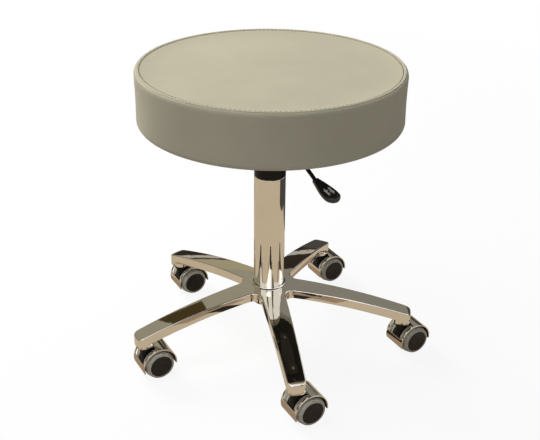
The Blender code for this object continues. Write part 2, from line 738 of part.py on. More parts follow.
def leg_under(distance):
    """Height of the leg's lower edge."""
    share = distance / STEM_CIRCLE
    return leg_top(distance) - LEG_ROOT_DEPTH - (LEG_TIP_DEPTH - LEG_ROOT_DEPTH) * share


def leg_edges(inset):
    """Plan points (along, across) down one edge of a leg, moved inwards by the inset.

    They run round the root fillet from the line between two legs, down the side and round the tip.
    The side is tangent to the fillet, and the tip is half a superellipse.
    """
    lean = math.atan((LEG_ROOT_WIDTH / 2 - LEG_TIP_RADIUS) / STEM_CIRCLE)
    axis_width = LEG_TIP_RADIUS / math.cos(lean) + STEM_CIRCLE * math.tan(lean)
    half_step = LEG_STEP / 2
    fillet_reach = (axis_width + LEG_FILLET / math.cos(lean)) / (
        math.sin(half_step) + math.cos(half_step) * math.tan(lean)
    )
    fillet = (fillet_reach * math.cos(half_step), fillet_reach * math.sin(half_step))
    root = arc(fillet, LEG_FILLET + inset, math.pi + half_step, 1.5 * math.pi - lean, 3)
    tip = [
        (STEM_CIRCLE + reach ** LEG_TIP_ROUNDNESS * (LEG_TIP_RADIUS - inset),
         side ** LEG_TIP_ROUNDNESS * (LEG_TIP_RADIUS - inset))
        for reach, side in arc((0.0, 0.0), 1.0, math.pi / 2 - lean, 0.0, 4)
    ]
    boss_back = STEM_CIRCLE - LEG_TIP_RADIUS
    side = []
    for share in LEG_SHARES:
        along = root[-1][0] + (boss_back - root[-1][0]) * share
        side.append((along, (axis_width - along * math.tan(lean)) - inset / math.cos(lean)))
    return root, side, tip


def across_leg(edge, bulge):
    """Row of plan points from one side of a leg to the other, its middle pushed out by the bulge."""
    return [(edge[0] + bulge * (1 - t * t), edge[1] * t) for t in LEG_SPREAD]


def hub_ring(radius):
    """Row of plan points round one leg's share of the hub."""
    angles = [t * LEG_STEP / 2 for t in LEG_SPREAD]
    return [(radius * math.cos(a), radius * math.sin(a)) for a in angles]


def bore_corner(height):
    """Corner radius of the hub's bore round the column."""
    facets = LEG_COUNT * (len(LEG_SPREAD) - 1)
    return circumscribed(column_radius(height) + SEAT_GAP, facets)


def root_bulges(edge):
    """Bulge of each row along the root fillet, from a hub ring's to none."""
    first = math.hypot(*edge[0]) - edge[0][0]
    last = len(edge) - 1
    return [first * (1 - i / last) for i in range(len(edge))]


def top_rows():
    """Rows of points over a leg's top, each between the two broken edges, and the edges below them."""
    root, side, tip = leg_edges(LEG_EDGE)
    rows = []
    for edge, bulge in zip(root, root_bulges(root)):
        rows.append(across_leg(edge, bulge))
    rows += [across_leg(edge, 0.0) for edge in side + tip]
    top = [[(x, y, leg_top(math.hypot(x, y))) for x, y in row] for row in rows]
    outer = []
    for edge, row in zip(sum(leg_edges(0.0), []), top):
        height = row[0][2] - LEG_EDGE
        outer.append([(edge[0], edge[1], height), (edge[0], -edge[1], height)])
    return top, outer


def under_rows():
    """Rows of points under a leg: lip, pocket wall and roof, then the caster's boss.

    The pocket opens between the first and the last row of the leg's straight side.
    """
    root, side, tip = leg_edges(0.0)
    lips = leg_edges(LEG_WALL)
    roofs = leg_edges(LEG_WALL + LEG_DRAFT)
    bulges = root_bulges(root)
    rows = []
    for i, edge in enumerate(root):
        row = across_leg(edge, bulges[i])
        rows.append([(x, y, leg_under(math.hypot(*edge))) for x, y in row])
    for i, edge in enumerate(side):
        low = leg_under(edge[0])
        hollow = 0 < i < len(side) - 1
        roof = leg_top(edge[0]) - LEG_ROOF if hollow else low
        half = [(edge[1], low), (lips[1][i][1], low), (roofs[1][i][1], roof)]
        row = half + [(0.0, roof)] + [(-y, z) for y, z in half[::-1]]
        rows.append([(edge[0], y, z) for y, z in row])
    back = [math.pi / 2 + (1 - t) * math.pi / 2 for t in LEG_SPREAD]
    boss = [
        (STEM_CIRCLE + LEG_TIP_RADIUS * math.cos(a), LEG_TIP_RADIUS * math.sin(a)) for a in back
    ]
    boss[0] = tip[0]
    boss[-1] = (tip[0][0], -tip[0][1])
    under = leg_under(tip[0][0])
    rows.append([(x, y, under) for x, y in boss])
    rows.append([(x, y, BOSS_BOTTOM) for x, y in boss])
    for edge in tip[1:]:
        rows.append([(x, y, BOSS_BOTTOM) for x, y in across_leg(edge, 0.0)])
    return rows, len(root) + len(side)


def add_rows(form, rows):
    """Put rows of points into the form as a grid of faces, and give the rows of its points."""
    made = [[form.verts.new(point) for point in row] for row in rows]
    for row, after in zip(made, made[1:]):
        for i in range(len(row) - 1):
            form.faces.new((row[i], row[i + 1], after[i + 1], after[i]))
    return made


def leg_sector(form):
    """One leg with its share of the hub, as a fifth of the star's surface."""
    top, outer = top_rows()
    under, boss_row = under_rows()
    flare = bore_corner(HUB_TOP) + HUB_FLARE_WIDTH
    hub_wall = bore_corner(HUB_BOTTOM) + HUB_WALL
    crown = [
        [(x, y, HUB_TOP + HUB_FLARE) for x, y in hub_ring(bore_corner(HUB_TOP + HUB_FLARE))],
        [(x, y, leg_top(flare)) for x, y in hub_ring(flare)],
    ]
    skirt = [
        [(x, y, HUB_BOTTOM) for x, y in hub_ring(bore_corner(HUB_BOTTOM))],
        [(x, y, HUB_BOTTOM) for x, y in hub_ring(hub_wall)],
        [(x, y, leg_under(hub_wall)) for x, y in hub_ring(hub_wall)],
    ]
    upper = add_rows(form, crown + top)
    lower = add_rows(form, skirt + under)
    add_rows(form, [[v.co for v in upper[0]], [v.co for v in lower[0]]])

    upper = upper[len(crown):]
    lower = lower[len(skirt):]
    sides = [[form.verts.new(point) for point in pair] for pair in outer]
    for end, flank in ((0, 0), (-1, 1)):
        for i in range(len(upper) - 1):
            edge, after = sides[i][flank], sides[i + 1][flank]
            form.faces.new((upper[i][end], upper[i + 1][end], after, edge))
            if i < boss_row:
                below = [lower[i][end], lower[i + 1][end]]
            elif i == boss_row:
                below = [lower[i][end], lower[i + 1][end], lower[i + 2][end]]
            else:
                below = [lower[i + 1][end], lower[i + 2][end]]
            form.faces.new((edge, after, *below[::-1]))


def make_star_base(base, finishes):
    """Five legs round the hub, with a blind socket in each tip for a caster's stem."""
    form = bmesh.new()
    for number in range(LEG_COUNT):
        leg = bmesh.new()
        leg_sector(leg)
        moved(leg, rotation=Matrix.Rotation(FRONT + number * LEG_STEP, 4, "Z"))
        spare = mesh_of(leg, "leg")
        form.from_mesh(spare)
        bpy.data.meshes.remove(spare)
    star = closed(form)
    socket = circumscribed(STEM_SHANK_DIAMETER / 2 + SEAT_GAP, PIN_FACETS)
    roof = COLLAR_TOP + STEM_SHANK + SEAT_GAP
    sockets = []
    for x, y in stem_places():
        hole = rod_form(socket, BOSS_BOTTOM - STEM_SHANK, roof)
        sockets.append(moved(hole, (x, y, 0.0)))
    mesh = combined("star_base", star, cut=sockets)
    piece("star_base", mesh, finishes["polished_aluminium"], base)


def stem_places():
    """Plan positions of the casters' stems."""
    angles = [FRONT + number * LEG_STEP for number in range(LEG_COUNT)]
    return [(STEM_CIRCLE * math.cos(a), STEM_CIRCLE * math.sin(a)) for a in angles]


# Casters

def hood_angles():
    """Angles round the axle at the hood's rows, and the first and last row of its window."""
    boss_edge = BOSS_DIAMETER / 2 + WINDOW_GAP - CASTER_TRAIL
    window_start = math.acos(boss_edge / HOOD_OUTER)
    spans = (
        (HOOD_TRAIL_END, window_start, 7),
        (window_start, WINDOW_LEAD_EDGE, 4),
        (WINDOW_LEAD_EDGE, HOOD_LEAD_END, 4),
    )
    angles = [HOOD_TRAIL_END]
    for start, end, steps in spans:
        angles += [start + (end - start) * (i + 1) / steps for i in range(steps)]
    first = spans[0][2]
    return angles, first, first + spans[1][2]


def hood_form():
    """Curved shell round both tyres, about the axle along Y, with a window for the stem's boss."""
    angles, first, last = hood_angles()
    half = HOOD_WIDTH / 2
    columns = (-half, HOOD_RIM - half, half - HOOD_RIM, half)
    form = bmesh.new()
    layers = []
    for radius in (HOOD_OUTER, HOOD_INNER):
        layers.append([
            [form.verts.new((radius * math.cos(a), y, radius * math.sin(a))) for y in columns]
            for a in angles
        ])
    cells = {
        (i, j)
        for i in range(len(angles) - 1)
        for j in range(len(columns) - 1)
        if j != 1 or not first <= i < last
    }
    outer, inner = layers
    for i, j in cells:
        corners = ((i, j), (i + 1, j), (i + 1, j + 1), (i, j + 1))
        for layer in layers:
            form.faces.new([layer[a][b] for a, b in corners])
        neighbours = ((i, j - 1), (i + 1, j), (i, j + 1), (i - 1, j))
        for k, beside in enumerate(neighbours):
            if beside not in cells:
                (a, b), (c, d) = corners[k], corners[(k + 1) % 4]
                form.faces.new((outer[a][b], outer[c][d], inner[c][d], inner[a][b]))
    loose = [v for v in form.verts if not v.link_faces]
    bmesh.ops.delete(form, geom=loose, context="VERTS")
    return closed(form)


def core_mesh():
    """Body between the wheels: a plate that the hood sits on, with a neck and boss round the stem."""
    angles = hood_angles()[0]
    seat = HOOD_INNER - SEAT_GAP
    outline = [(seat * math.cos(a), seat * math.sin(a)) for a in angles]
    foot = CORE_FOOT_DIAMETER / 2
    outline += arc((0.0, 0.0), foot, HOOD_LEAD_END, 2 * math.pi + HOOD_TRAIL_END, 6)
    plate = prism(outline, -CORE_WIDTH / 2, CORE_WIDTH / 2)
    axle_place = (CASTER_TRAIL, 0.0, WHEEL_RADIUS)
    upright = Matrix.Rotation(math.pi / 2, 4, "X")
    moved(plate, axle_place, upright)
    neck = CORE_WIDTH / 2
    boss = BOSS_DIAMETER / 2
    boss_low = WHEEL_RADIUS + circumscribed(WHEEL_RADIUS, WHEEL_FACETS) + SIDE_GAP
    head = turned(
        [
            (0.0, NECK_LOW),
            (neck, NECK_LOW),
            (neck, boss_low),
            (boss, boss_low),
            (boss, CORE_TOP),
            (0.0, CORE_TOP),
        ],
        BOSS_FACETS,
    )
    stem_bore = circumscribed(STEM_RADIUS + RUN_GAP, PIN_FACETS)
    stem_hole = rod_form(stem_bore, STEM_LOW - SEAT_GAP, CORE_TOP + BOSS_DIAMETER)
    axle_bore = circumscribed(AXLE_DIAMETER / 2 + SEAT_GAP, PIN_FACETS)
    axle_hole = moved(rod_form(axle_bore, -CORE_WIDTH, CORE_WIDTH), axle_place, upright)
    return combined("caster_core", plate, joined=(head,), cut=(stem_hole, axle_hole))


def stem_form():
    """Stem: pivot in the core, a collar between core and leg, and a shank in the leg's socket."""
    shank = STEM_SHANK_DIAMETER / 2
    collar = STEM_COLLAR_DIAMETER / 2
    top = COLLAR_TOP + STEM_SHANK
    return turned(
        [
            (0.0, STEM_LOW),
            (STEM_RADIUS, STEM_LOW),
            (STEM_RADIUS, COLLAR_BOTTOM),
            (collar, COLLAR_BOTTOM),
            (collar, COLLAR_TOP),
            (shank, COLLAR_TOP),
            (shank, top - STEM_CHAMFER),
            (shank - STEM_CHAMFER, top),
            (0.0, top),
        ],
        PIN_FACETS,
    )


def wheel_hub_form():
    """Dark disc with a blind bore for the axle, turned about Z and facing +Z."""
    bore = circumscribed(AXLE_DIAMETER / 2 + RUN_GAP, WHEEL_FACETS)
    blind = WHEEL_OUTER_FACE - AXLE_INSET + SIDE_GAP
    face = WHEEL_OUTER_FACE - HUB_CAP_DISH
    return turned(
        [
            (0.0, face),
            (HUB_RADIUS, face),
            (HUB_RADIUS, WHEEL_INNER_FACE),
            (bore, WHEEL_INNER_FACE),
            (bore, blind),
            (0.0, blind),
        ],
        WHEEL_FACETS,
    )


def tread_form():
    """Tyre with a rounded outer shoulder, turned about Z and facing +Z."""
    tread = circumscribed(WHEEL_RADIUS, WHEEL_FACETS)
    inner = HUB_RADIUS + SEAT_GAP
    near = WHEEL_INNER_FACE + SIDE_GAP
    shoulder = (tread - TREAD_SHOULDER, WHEEL_OUTER_FACE - TREAD_SHOULDER)
    section = [(inner, near), (tread, near)]
    section += arc(shoulder, TREAD_SHOULDER, 0.0, math.pi / 2, 3)
    section.append((inner, WHEEL_OUTER_FACE))
    return turned(section, WHEEL_FACETS)


def make_casters(base, finishes):
    """Five casters, each with its stem in the leg, its swivelling body and two wheels."""
    reach = WHEEL_OUTER_FACE - AXLE_INSET
    stem = mesh_of(stem_form(), "caster_stem")
    hood = mesh_of(hood_form(), "caster_hood")
    core = core_mesh()
    axle = mesh_of(rod_form(AXLE_DIAMETER / 2, -reach, reach), "caster_axle")
    hub = mesh_of(wheel_hub_form(), "wheel_hub")
    tread = mesh_of(tread_form(), "wheel_tread")
    sideways = -math.pi / 2
    for number, (x, y) in enumerate(stem_places(), start=1):
        name = f"caster_{number}"
        swivel = frame_point(name, base, (x, y, 0.0), CASTER_HEADING)
        wheels = frame_point(name + "_axle_line", swivel, (CASTER_TRAIL, 0.0, WHEEL_RADIUS))
        piece(name + "_stem", stem, finishes["steel"], swivel)
        piece(name + "_core", core, finishes["black_plastic"], swivel)
        piece(name + "_hood", hood, finishes["chrome"], wheels)
        piece(name + "_axle", axle, finishes["steel"], wheels, rotation=(sideways, 0.0, 0.0))
        for side, turn in (("left", sideways), ("right", -sideways)):
            rotation = (turn, 0.0, 0.0)
            piece(f"{name}_hub_{side}", hub, finishes["wheel_plastic"], wheels, rotation=rotation)
            piece(f"{name}_tread_{side}", tread, finishes["tread"], wheels, rotation=rotation)


def make_finishes():
    """Finishes of the stool, in linear colour."""
    return {
        "leatherette": finish("leatherette", (0.50, 0.46, 0.35), 0.52, 0.0),
        "foam": finish("foam", (0.80, 0.72, 0.45), 0.95, 0.0),
        "plywood": finish("plywood", (0.50, 0.33, 0.18), 0.75, 0.0),
        "chrome": finish("chrome", (0.78, 0.75, 0.70), 0.07, 1.0),
        "polished_aluminium": finish("polished_aluminium", (0.78, 0.75, 0.70), 0.09, 1.0),
        "steel": finish("steel", (0.52, 0.51, 0.49), 0.30, 1.0),
        "painted_steel": finish("painted_steel", (0.014, 0.014, 0.015), 0.42, 0.0),
        "black_plastic": finish("black_plastic", (0.012, 0.012, 0.012), 0.38, 0.0),
        "rubber": finish("rubber", (0.020, 0.020, 0.020), 0.80, 0.0),
        "wheel_plastic": finish("wheel_plastic", (0.030, 0.027, 0.024), 0.40, 0.0),
        "tread": finish("tread", (0.30, 0.28, 0.23), 0.55, 0.0),
    }


def main():
    for old in list(bpy.data.objects):
        bpy.data.objects.remove(old)
    finishes = make_finishes()
    base = frame_point("base", location=-OUTLINE_MIDDLE)
    spindle = frame_point("spindle", base)
    seat = frame_point("seat", spindle)
    valve = frame_point("valve", seat)
    lever_place = Vector((LEVER_ARM, 0.0, PIVOT_HEIGHT))
    lever_turn = Matrix.Rotation(LEVER_HEADING, 4, "Z")
    lever = frame_point("lever", seat, lever_turn @ lever_place, LEVER_HEADING)
    make_cushion(seat, finishes)
    make_bolts(seat, finishes)
    make_seat_plate(seat, lever_turn, finishes)
    make_lever(lever, finishes)
    make_lever_pin(lever, finishes)
    make_column(base, finishes)
    make_gas_tube(seat, finishes)
    make_button(valve, finishes)
    make_spindle(spindle, base, finishes)
    make_star_base(base, finishes)
    make_casters(base, finishes)


main()
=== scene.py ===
"""Visible surfaces of a rolling clinic stool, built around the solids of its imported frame.

Lengths are metres and +Z is up. Each piece is a surface worked out with numpy on a grid of two
parameters, placed in the frame's own coordinates, and rides on the body whose solids it stands for.
"""

import json
import math

import bmesh
import bpy
import numpy as np
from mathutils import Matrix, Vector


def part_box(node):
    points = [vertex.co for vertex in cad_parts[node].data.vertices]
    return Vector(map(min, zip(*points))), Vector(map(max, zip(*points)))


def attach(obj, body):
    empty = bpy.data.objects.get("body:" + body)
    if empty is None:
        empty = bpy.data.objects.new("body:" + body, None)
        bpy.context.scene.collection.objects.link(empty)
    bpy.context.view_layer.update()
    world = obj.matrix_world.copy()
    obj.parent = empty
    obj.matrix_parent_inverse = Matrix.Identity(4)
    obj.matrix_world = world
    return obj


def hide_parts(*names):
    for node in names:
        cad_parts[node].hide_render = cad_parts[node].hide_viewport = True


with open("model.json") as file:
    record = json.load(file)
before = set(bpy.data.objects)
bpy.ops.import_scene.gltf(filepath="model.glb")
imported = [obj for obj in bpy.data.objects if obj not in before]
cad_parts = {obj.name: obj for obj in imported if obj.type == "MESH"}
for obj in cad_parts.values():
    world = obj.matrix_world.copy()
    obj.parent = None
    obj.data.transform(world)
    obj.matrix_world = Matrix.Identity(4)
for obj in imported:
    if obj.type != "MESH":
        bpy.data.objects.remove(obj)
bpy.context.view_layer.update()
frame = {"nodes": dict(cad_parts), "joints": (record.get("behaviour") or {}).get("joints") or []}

bl_info = {
    "name": "Rolling stool looks",
    "version": (1, 0, 0),
    "blender": (4, 5, 0),
    "location": "3D View > Sidebar > Stool",
    "description": "Builds the visible surfaces of a rolling stool around its solids",
    "category": "Add Mesh",
}

JOINTS = {joint["name"]: joint for joint in frame["joints"]}
COLUMN_AXIS = JOINTS["seat_swivel"]["pos_m"][:2]
QUARTER = math.pi / 2

# Mesh building
WELD = 2e-6                      # points closer than this are one point
SHARP_ANGLE = math.radians(50)
ARC_STEPS = 5                    # steps round a rounded corner
EDGE_ROWS = 3                    # rows round a small edge
LARGEST_ROUND = 0.45             # share of the shorter side that a rounding may take
REST_STEP = (0.15, 0.02)         # straight step beside a rounding: shares of its reach and of the side
PIN_COLUMNS = 32                 # columns round pins and holes
STEM_COLUMNS = 48
WHEEL_COLUMNS = 72
COLUMN_COLUMNS = 96
SEED = 7

# Seat cushion
SEAT_BOTTOM = 0.4009
LOWER_ROUND = 0.008
RIM_POWER = 1.0                  # section of the rolled rim: 1 is an ellipse, 0 a square edge
DRAW_IN = 0.0002                 # band drawn in between its edges when filled
PANEL_POWER = 12                 # higher for a flatter middle and a tighter roll at the seam
SEAM_SPREAD = 0.0006             # how soon the leather rises out of the seam
LIP_WIDTH = 0.0036               # top panel outside its stitches
LIP_RISE = 0.0005
EDGE_SEAM_TURN = math.radians(60)  # where round the rim the panel meets the band
EDGE_SEAM_DEPTH = 0.0009
EDGE_SEAM_SPREAD = 0.0007
LOWER_ROWS = 12
BAND_ROWS = 24
RIM_ROWS = 36
LIP_ROWS = 13
PANEL_ROWS = 40
PANEL_ROW_POWER = 2.2            # rows lie closer together at the seam
TURN_UNDER_RADIUS = 0.169        # opening of the cover under the board
TURN_UNDER_ROUND = 0.0003
TURN_UNDER_FLAT = 0.006          # width of the flat ring beside the lower rounding
RECESS = ((0.0, 0.4150), (0.1938, 0.4150), (0.1938, 0.4024))
COVER_EDGE_TOP = 0.4024
PANEL_SLACK = 0.0010             # how far the leather lies in before it is filled
PANEL_SLACK_REACH = 0.006        # distance from the seam over which the panel's slack grows
BAND_SLACK = 0.0010
LEAST_SLACK = 1e-4
COLUMNS_PER_STITCH = 4
PUCKER = 0.00022                 # leather drawn in at each stitch
PUCKER_REACH = 0.005
BAND_WAVE = 0.0003               # unevenness of the band
BAND_WAVE_COUNTS = range(2, 9)
BAND_WAVE_SHARE = 0.14
BAND_WAVE_FADE = (0.02, 0.03)    # distances from the lower edge and the seam over which it grows
STITCH_GRID = (7, 6)             # points along and round one stitch
STITCH_DIP = 0.6                 # drop of a stitch's ends, in thread radii
STITCH_SINK = 0.75               # share of the seam's depth at which the thread lies
CLOTH_VOXEL = 0.005
CLOTH_PRESSURE = 25.0
CLOTH_TENSION = 6.0
CLOTH_FRAMES = 20
CLOTH_QUALITY = 5
BAG_COLUMNS = 96
FILL_BINS = (48, 40)             # round the seat, and along its section

# Release lever
LEVER_RADIUS = 0.003
EYE_HALF_HEIGHT = 0.0044
EYE_POWER = 0.5
LEVER_START = -0.031
LEVER_NECK = 0.016
LEVER_NECK_ROUND = 0.018
LEVER_BEND = (0.102, -0.03419)
LEVER_BEND_ROUND = 0.014
LEVER_EYE_ROWS = 23
LEVER_COLUMNS = 28
PIN_HOLE = (0.0026, -0.01, 0.01)  # radius and ends
PADDLE_DROOP = math.radians(10)
PADDLE_SOCKET = 0.022
PADDLE_START = 0.0006
PADDLE_LENGTH = 0.0565
PADDLE_HALF_WIDTH = 0.0128
PADDLE_NECK = 0.00525
PADDLE_HALF_THICKNESS = 0.00475
PADDLE_POWER = 0.6
PADDLE_FLARE_POWER = 1.3
PADDLE_NECK_SHARE = 0.80         # thickness at the neck, as a share of the middle's
PADDLE_END_THINNING = 0.5
PADDLE_ROWS = (44, 22)           # along the flare, and round the end
PADDLE_COLUMNS = 128
PADDLE_RIM = 0.0021
RECESS_DEPTH = 0.0009
RECESS_START = 0.013
RECESS_FADE = 0.004
RECESS_WALL = 0.0013
RIDGE_INSIDE = 0.0050            # ring round the arrows
RIDGE_HALF = 0.0008
RIDGE_HEIGHT = 0.0005
ARROW_MIDDLE = 0.036
ARROW_APART = 0.0041
ARROW_PROUD = 0.00025
ARROW_HALF_SHAFT = 0.105         # these three are shares of the arrow's length
ARROW_HALF_HEAD = 0.22
ARROW_HEAD = 0.42

# Star base
LEG_COUNT = 5
LEG_STEP = 2 * math.pi / LEG_COUNT
STEM_CIRCLE = 0.223
LEG_ROOT_HALF = 0.0208
LEG_TIP_RADIUS = 0.0145
LEG_FILLET = 0.014
LEG_TIP_POWER = 0.55             # outline of the tip: 1 is a half circle, 0 a square end
LEG_RISE = 0.032
LEG_ARCH = 0.005
LEG_CROWN = 0.0003               # bow of the top across the leg
TIP_ROLL = 0.0012                # fall of the top towards the end of the leg
LEG_ROOT_DEPTH = 0.0145
LEG_TIP_DEPTH = 0.0165
LEG_WALL = 0.0035
LEG_ROOF = 0.004
LEG_DRAFT = 0.0008
LOWER_EDGE = 0.0006
TIP_TOP = 0.0800
BOSS_BOTTOM = 0.0570
HUB_BOTTOM = 0.0840
HUB_BORE = 0.0253
HUB_WALL = 0.0303
HUB_SLOPE_START = 0.029          # distance from the axis at which the legs begin to fall
FLARE_WIDTH = 0.0050
ROOT_STEPS = 14
SIDE_STEPS = 34
TIP_STEPS = 14
FLARE_ROWS = 9
TOP_SPREAD = np.array((0.0, 0.16, 0.32, 0.48, 0.62, 0.75, 0.86, 0.95, 1.0))  # columns across the top
ROOF_SPREAD = (0.8, 0.6, 0.4, 0.2, 0.0)  # columns across the pocket's roof
LOWER_EDGE_FADE = (8, 4)         # the lower edge sharpens over an eighth of the side and four rows of the tip
LIP_SHARES = (0.6, 0.9)          # limits of the lower rim and of the roof, as shares of the half width
ROOF_SHARES = (0.5, 0.85)
POCKET_ENDS = (0.06, 0.97)       # hollow part of the underside, as shares of the side
POCKET_FADE = 0.06
LEAST_HALF_WIDTH = 1e-4

# Casters
WHEEL_RADIUS = 0.025
HOOD_HALF = 0.0222
HOOD_INNER = 0.0266
HOOD_OUTER = 0.0286
HOOD_ENDS = (math.radians(-8), math.radians(200))
HOOD_WINDOW = (math.radians(98.65), math.radians(166))
HOOD_STRIP = 0.0035
HOOD_CORNER = 0.0015
WINDOW_CORNER = 0.0030
HOOD_ROWS = 22
HOOD_SIDE_STEPS = (34, 16)
CORE_HALF = 0.0082
CORE_SEAT = 0.0263
CORE_FOOT = 0.015
CORE_STEPS = (60, 24)            # round the hood's seat, and round the foot
STEM_HOLE = (0.0047, 0.0342, 0.08)  # radius and ends
AXLE_HOLE = (0.0034, -0.02, 0.02)
CASTER_TRAIL = 0.0165

# Turned pieces: corners of (radius, height, rounding)
# A section that meets the axis starts and ends there.
COLUMN_SECTION = (
    (0.0055, 0.0820, 0), (0.0244, 0.0820, 0.0006), (0.0250, 0.1145, 0), (0.0250, 0.3077, 0.0008),
    (0.0230, 0.3077, 0.0004), (0.0230, 0.0880, 0.0005), (0.0055, 0.0880, 0),
)
BUSH_SECTION = (
    (0.0146, 0.2462, 0), (0.0227, 0.2462, 0.0005), (0.0227, 0.3080, 0), (0.0250, 0.3080, 0.0003),
    (0.0250, 0.3260, 0.0018), (0.0146, 0.3260, 0.0008),
)
TUBE_SECTION = (
    (0.0055, 0.1062, 0), (0.0140, 0.1062, 0.0008), (0.0140, 0.3320, 0), (0.0130, 0.3730, 0.0005),
    (0.0046, 0.3730, 0), (0.0046, 0.3610, 0), (0.0110, 0.3610, 0), (0.0120, 0.3320, 0),
    (0.0120, 0.1262, 0), (0.0055, 0.1262, 0),
)
ROD_SECTION = (
    (0.0, 0.0740, 0), (0.0050, 0.0740, 0.0006), (0.0050, 0.0799, 0), (0.0040, 0.0799, 0),
    (0.0040, 0.0820, 0), (0.0050, 0.0820, 0), (0.0050, 0.0946, 0), (0.0100, 0.0946, 0.0003),
    (0.0100, 0.0976, 0.0003), (0.0050, 0.0976, 0), (0.0050, 0.2682, 0), (0.0115, 0.2682, 0.0006),
    (0.0115, 0.2822, 0.0006), (0.0, 0.2822, 0),
)
BUTTON_SECTION = (
    (0.0, 0.3640, 0), (0.0040, 0.3640, 0.0003), (0.0040, 0.3778, 0.0006), (0.0015, 0.3790, 0.0005),
    (0.0, 0.3790, 0),
)
CLIP_SECTION = ((0.0043, 0.0802, 0), (0.0090, 0.0802, 0.0003), (0.0090, 0.0817, 0.0003), (0.0043, 0.0817, 0))
BUFFER_SECTION = ((0.0056, 0.0979, 0), (0.0130, 0.0979, 0.0015), (0.0130, 0.1059, 0.0015), (0.0056, 0.1059, 0))
BEARING_SECTION = (
    (0.0056, 0.0883, 0), (0.0130, 0.0883, 0.0004), (0.0130, 0.0903, 0.0002), (0.0120, 0.0905, 0.0002),
    (0.0120, 0.0921, 0.0002), (0.0130, 0.0923, 0.0002), (0.0130, 0.0943, 0.0004), (0.0056, 0.0943, 0),
)
BOLT_SECTION = (
    (0.0, 0.3960, 0), (0.0022, 0.3960, 0), (0.0024, 0.3946, 0.0002), (0.0042, 0.3947, 0.0008),
    (0.0060, 0.3964, 0.0010), (0.0060, 0.3986, 0.0003), (0.0030, 0.3986, 0), (0.0030, 0.4117, 0.0005),
    (0.0, 0.4117, 0),
)
PIN_SECTION = (
    (0.0, -0.0091, 0), (0.0020, -0.0091, 0.0004), (0.0020, 0.0079, 0), (0.0035, 0.0079, 0.0002),
    (0.0035, 0.0094, 0.0006), (0.0, 0.0094, 0),
)
STEM_SECTION = (
    (0.0, 0.0345, 0), (0.0040, 0.0345, 0.0004), (0.0040, 0.0548, 0), (0.0090, 0.0548, 0.0003),
    (0.0090, 0.0567, 0.0003), (0.0055, 0.0567, 0), (0.0055, 0.0737, 0.0010), (0.0, 0.0737, 0),
)
AXLE_SECTION = ((0.0, -0.0220, 0), (0.0030, -0.0220, 0.0004), (0.0030, 0.0220, 0.0004), (0.0, 0.0220, 0))
HUB_SECTION = (
    (0.0, 0.0247, 0), (0.0040, 0.0247, 0.0010), (0.0060, 0.0253, 0.0012), (0.0118, 0.0253, 0.0005),
    (0.0126, 0.0248, 0.0005), (0.0134, 0.0253, 0.0005), (0.0179, 0.0252, 0.0004), (0.0179, 0.0088, 0.0004),
    (0.0036, 0.0088, 0), (0.0036, 0.0226, 0), (0.0, 0.0226, 0),
)
TREAD_SECTION = (
    (0.0182, 0.0094, 0.0004), (0.0250, 0.0094, 0.0010), (0.0250, 0.0148, 0.0065), (0.0221, 0.0244, 0.0036),
    (0.0182, 0.0260, 0.0002),
)
CORE_HEAD_SECTION = (
    (0.0, 0.0325, 0), (0.0082, 0.0325, 0), (0.0082, 0.0509, 0), (0.0110, 0.0509, 0.0004),
    (0.0110, 0.0545, 0.0006), (0.0, 0.0545, 0),
)

# Room that the metal shows, in linear colour
FLOOR_TAN = (0.60, 0.50, 0.37)
SHADE = (0.030, 0.023, 0.016)
CASTER_SHADE = (0.36, 0.26, 0.18)
ROOM_PALE = (0.48, 0.45, 0.40)
ROOM_TAN = (0.40, 0.35, 0.23)
ROOM_OLIVE = (0.337, 0.315, 0.24)
ROOM_GREY = (0.256, 0.246, 0.21)
ROOM_BROWN = (0.062, 0.042, 0.015)
ROOM_BAR = (0.12, 0.10, 0.08)
NEAR_GREY = (0.07, 0.065, 0.06)
ROOM_HALF = 2.6
ROOM_BACK = 2.2
ROOM_HIGH = 4.5
BACK_LEFT, BACK_SPLIT, BACK_RIGHT = (-ROOM_HALF, ROOM_BACK), (0.36, ROOM_BACK), (ROOM_HALF, ROOM_BACK)
FRONT_LEFT, FRONT_RIGHT = (-ROOM_HALF, -ROOM_HALF), (ROOM_HALF, -ROOM_HALF)
WALLS = (                        # name, two plan points, lower and upper edge, colour
    ("back_low", BACK_LEFT, BACK_RIGHT, 0.0, 0.41, SHADE),
    ("back_pale", BACK_LEFT, BACK_RIGHT, 0.41, 0.54, ROOM_PALE),
    ("back_line", BACK_LEFT, BACK_RIGHT, 0.54, 0.60, SHADE),
    ("back_tan", BACK_LEFT, BACK_SPLIT, 0.60, 1.0, ROOM_TAN),
    ("back_dark", BACK_SPLIT, BACK_RIGHT, 0.60, 1.0, SHADE),
    ("back_olive", BACK_LEFT, BACK_SPLIT, 1.0, ROOM_HIGH, ROOM_OLIVE),
    ("back_grey", BACK_SPLIT, BACK_RIGHT, 1.0, ROOM_HIGH, ROOM_GREY),
    ("back_patch", (-0.82, 2.19), (-0.36, 2.19), 1.55, 2.60, ROOM_BROWN),
    ("left_low", FRONT_LEFT, BACK_LEFT, 0.0, 0.80, SHADE),
    ("left_olive", (-ROOM_HALF, -0.6), BACK_LEFT, 0.80, ROOM_HIGH, ROOM_OLIVE),
    ("right_low", FRONT_RIGHT, BACK_RIGHT, 0.0, 0.80, SHADE),
    ("front_low", FRONT_LEFT, FRONT_RIGHT, 0.0, 0.80, SHADE),
    ("front_bar_left", (-1.6, -ROOM_HALF), (-0.9, -ROOM_HALF), 0.80, 3.0, ROOM_BAR),
    ("front_bar_right", (0.7, -ROOM_HALF), (1.4, -ROOM_HALF), 0.80, 3.0, ROOM_BAR),
    ("near_right", (0.5, -0.2), (0.5, 2.1), 0.0, 0.25, NEAR_GREY),
)
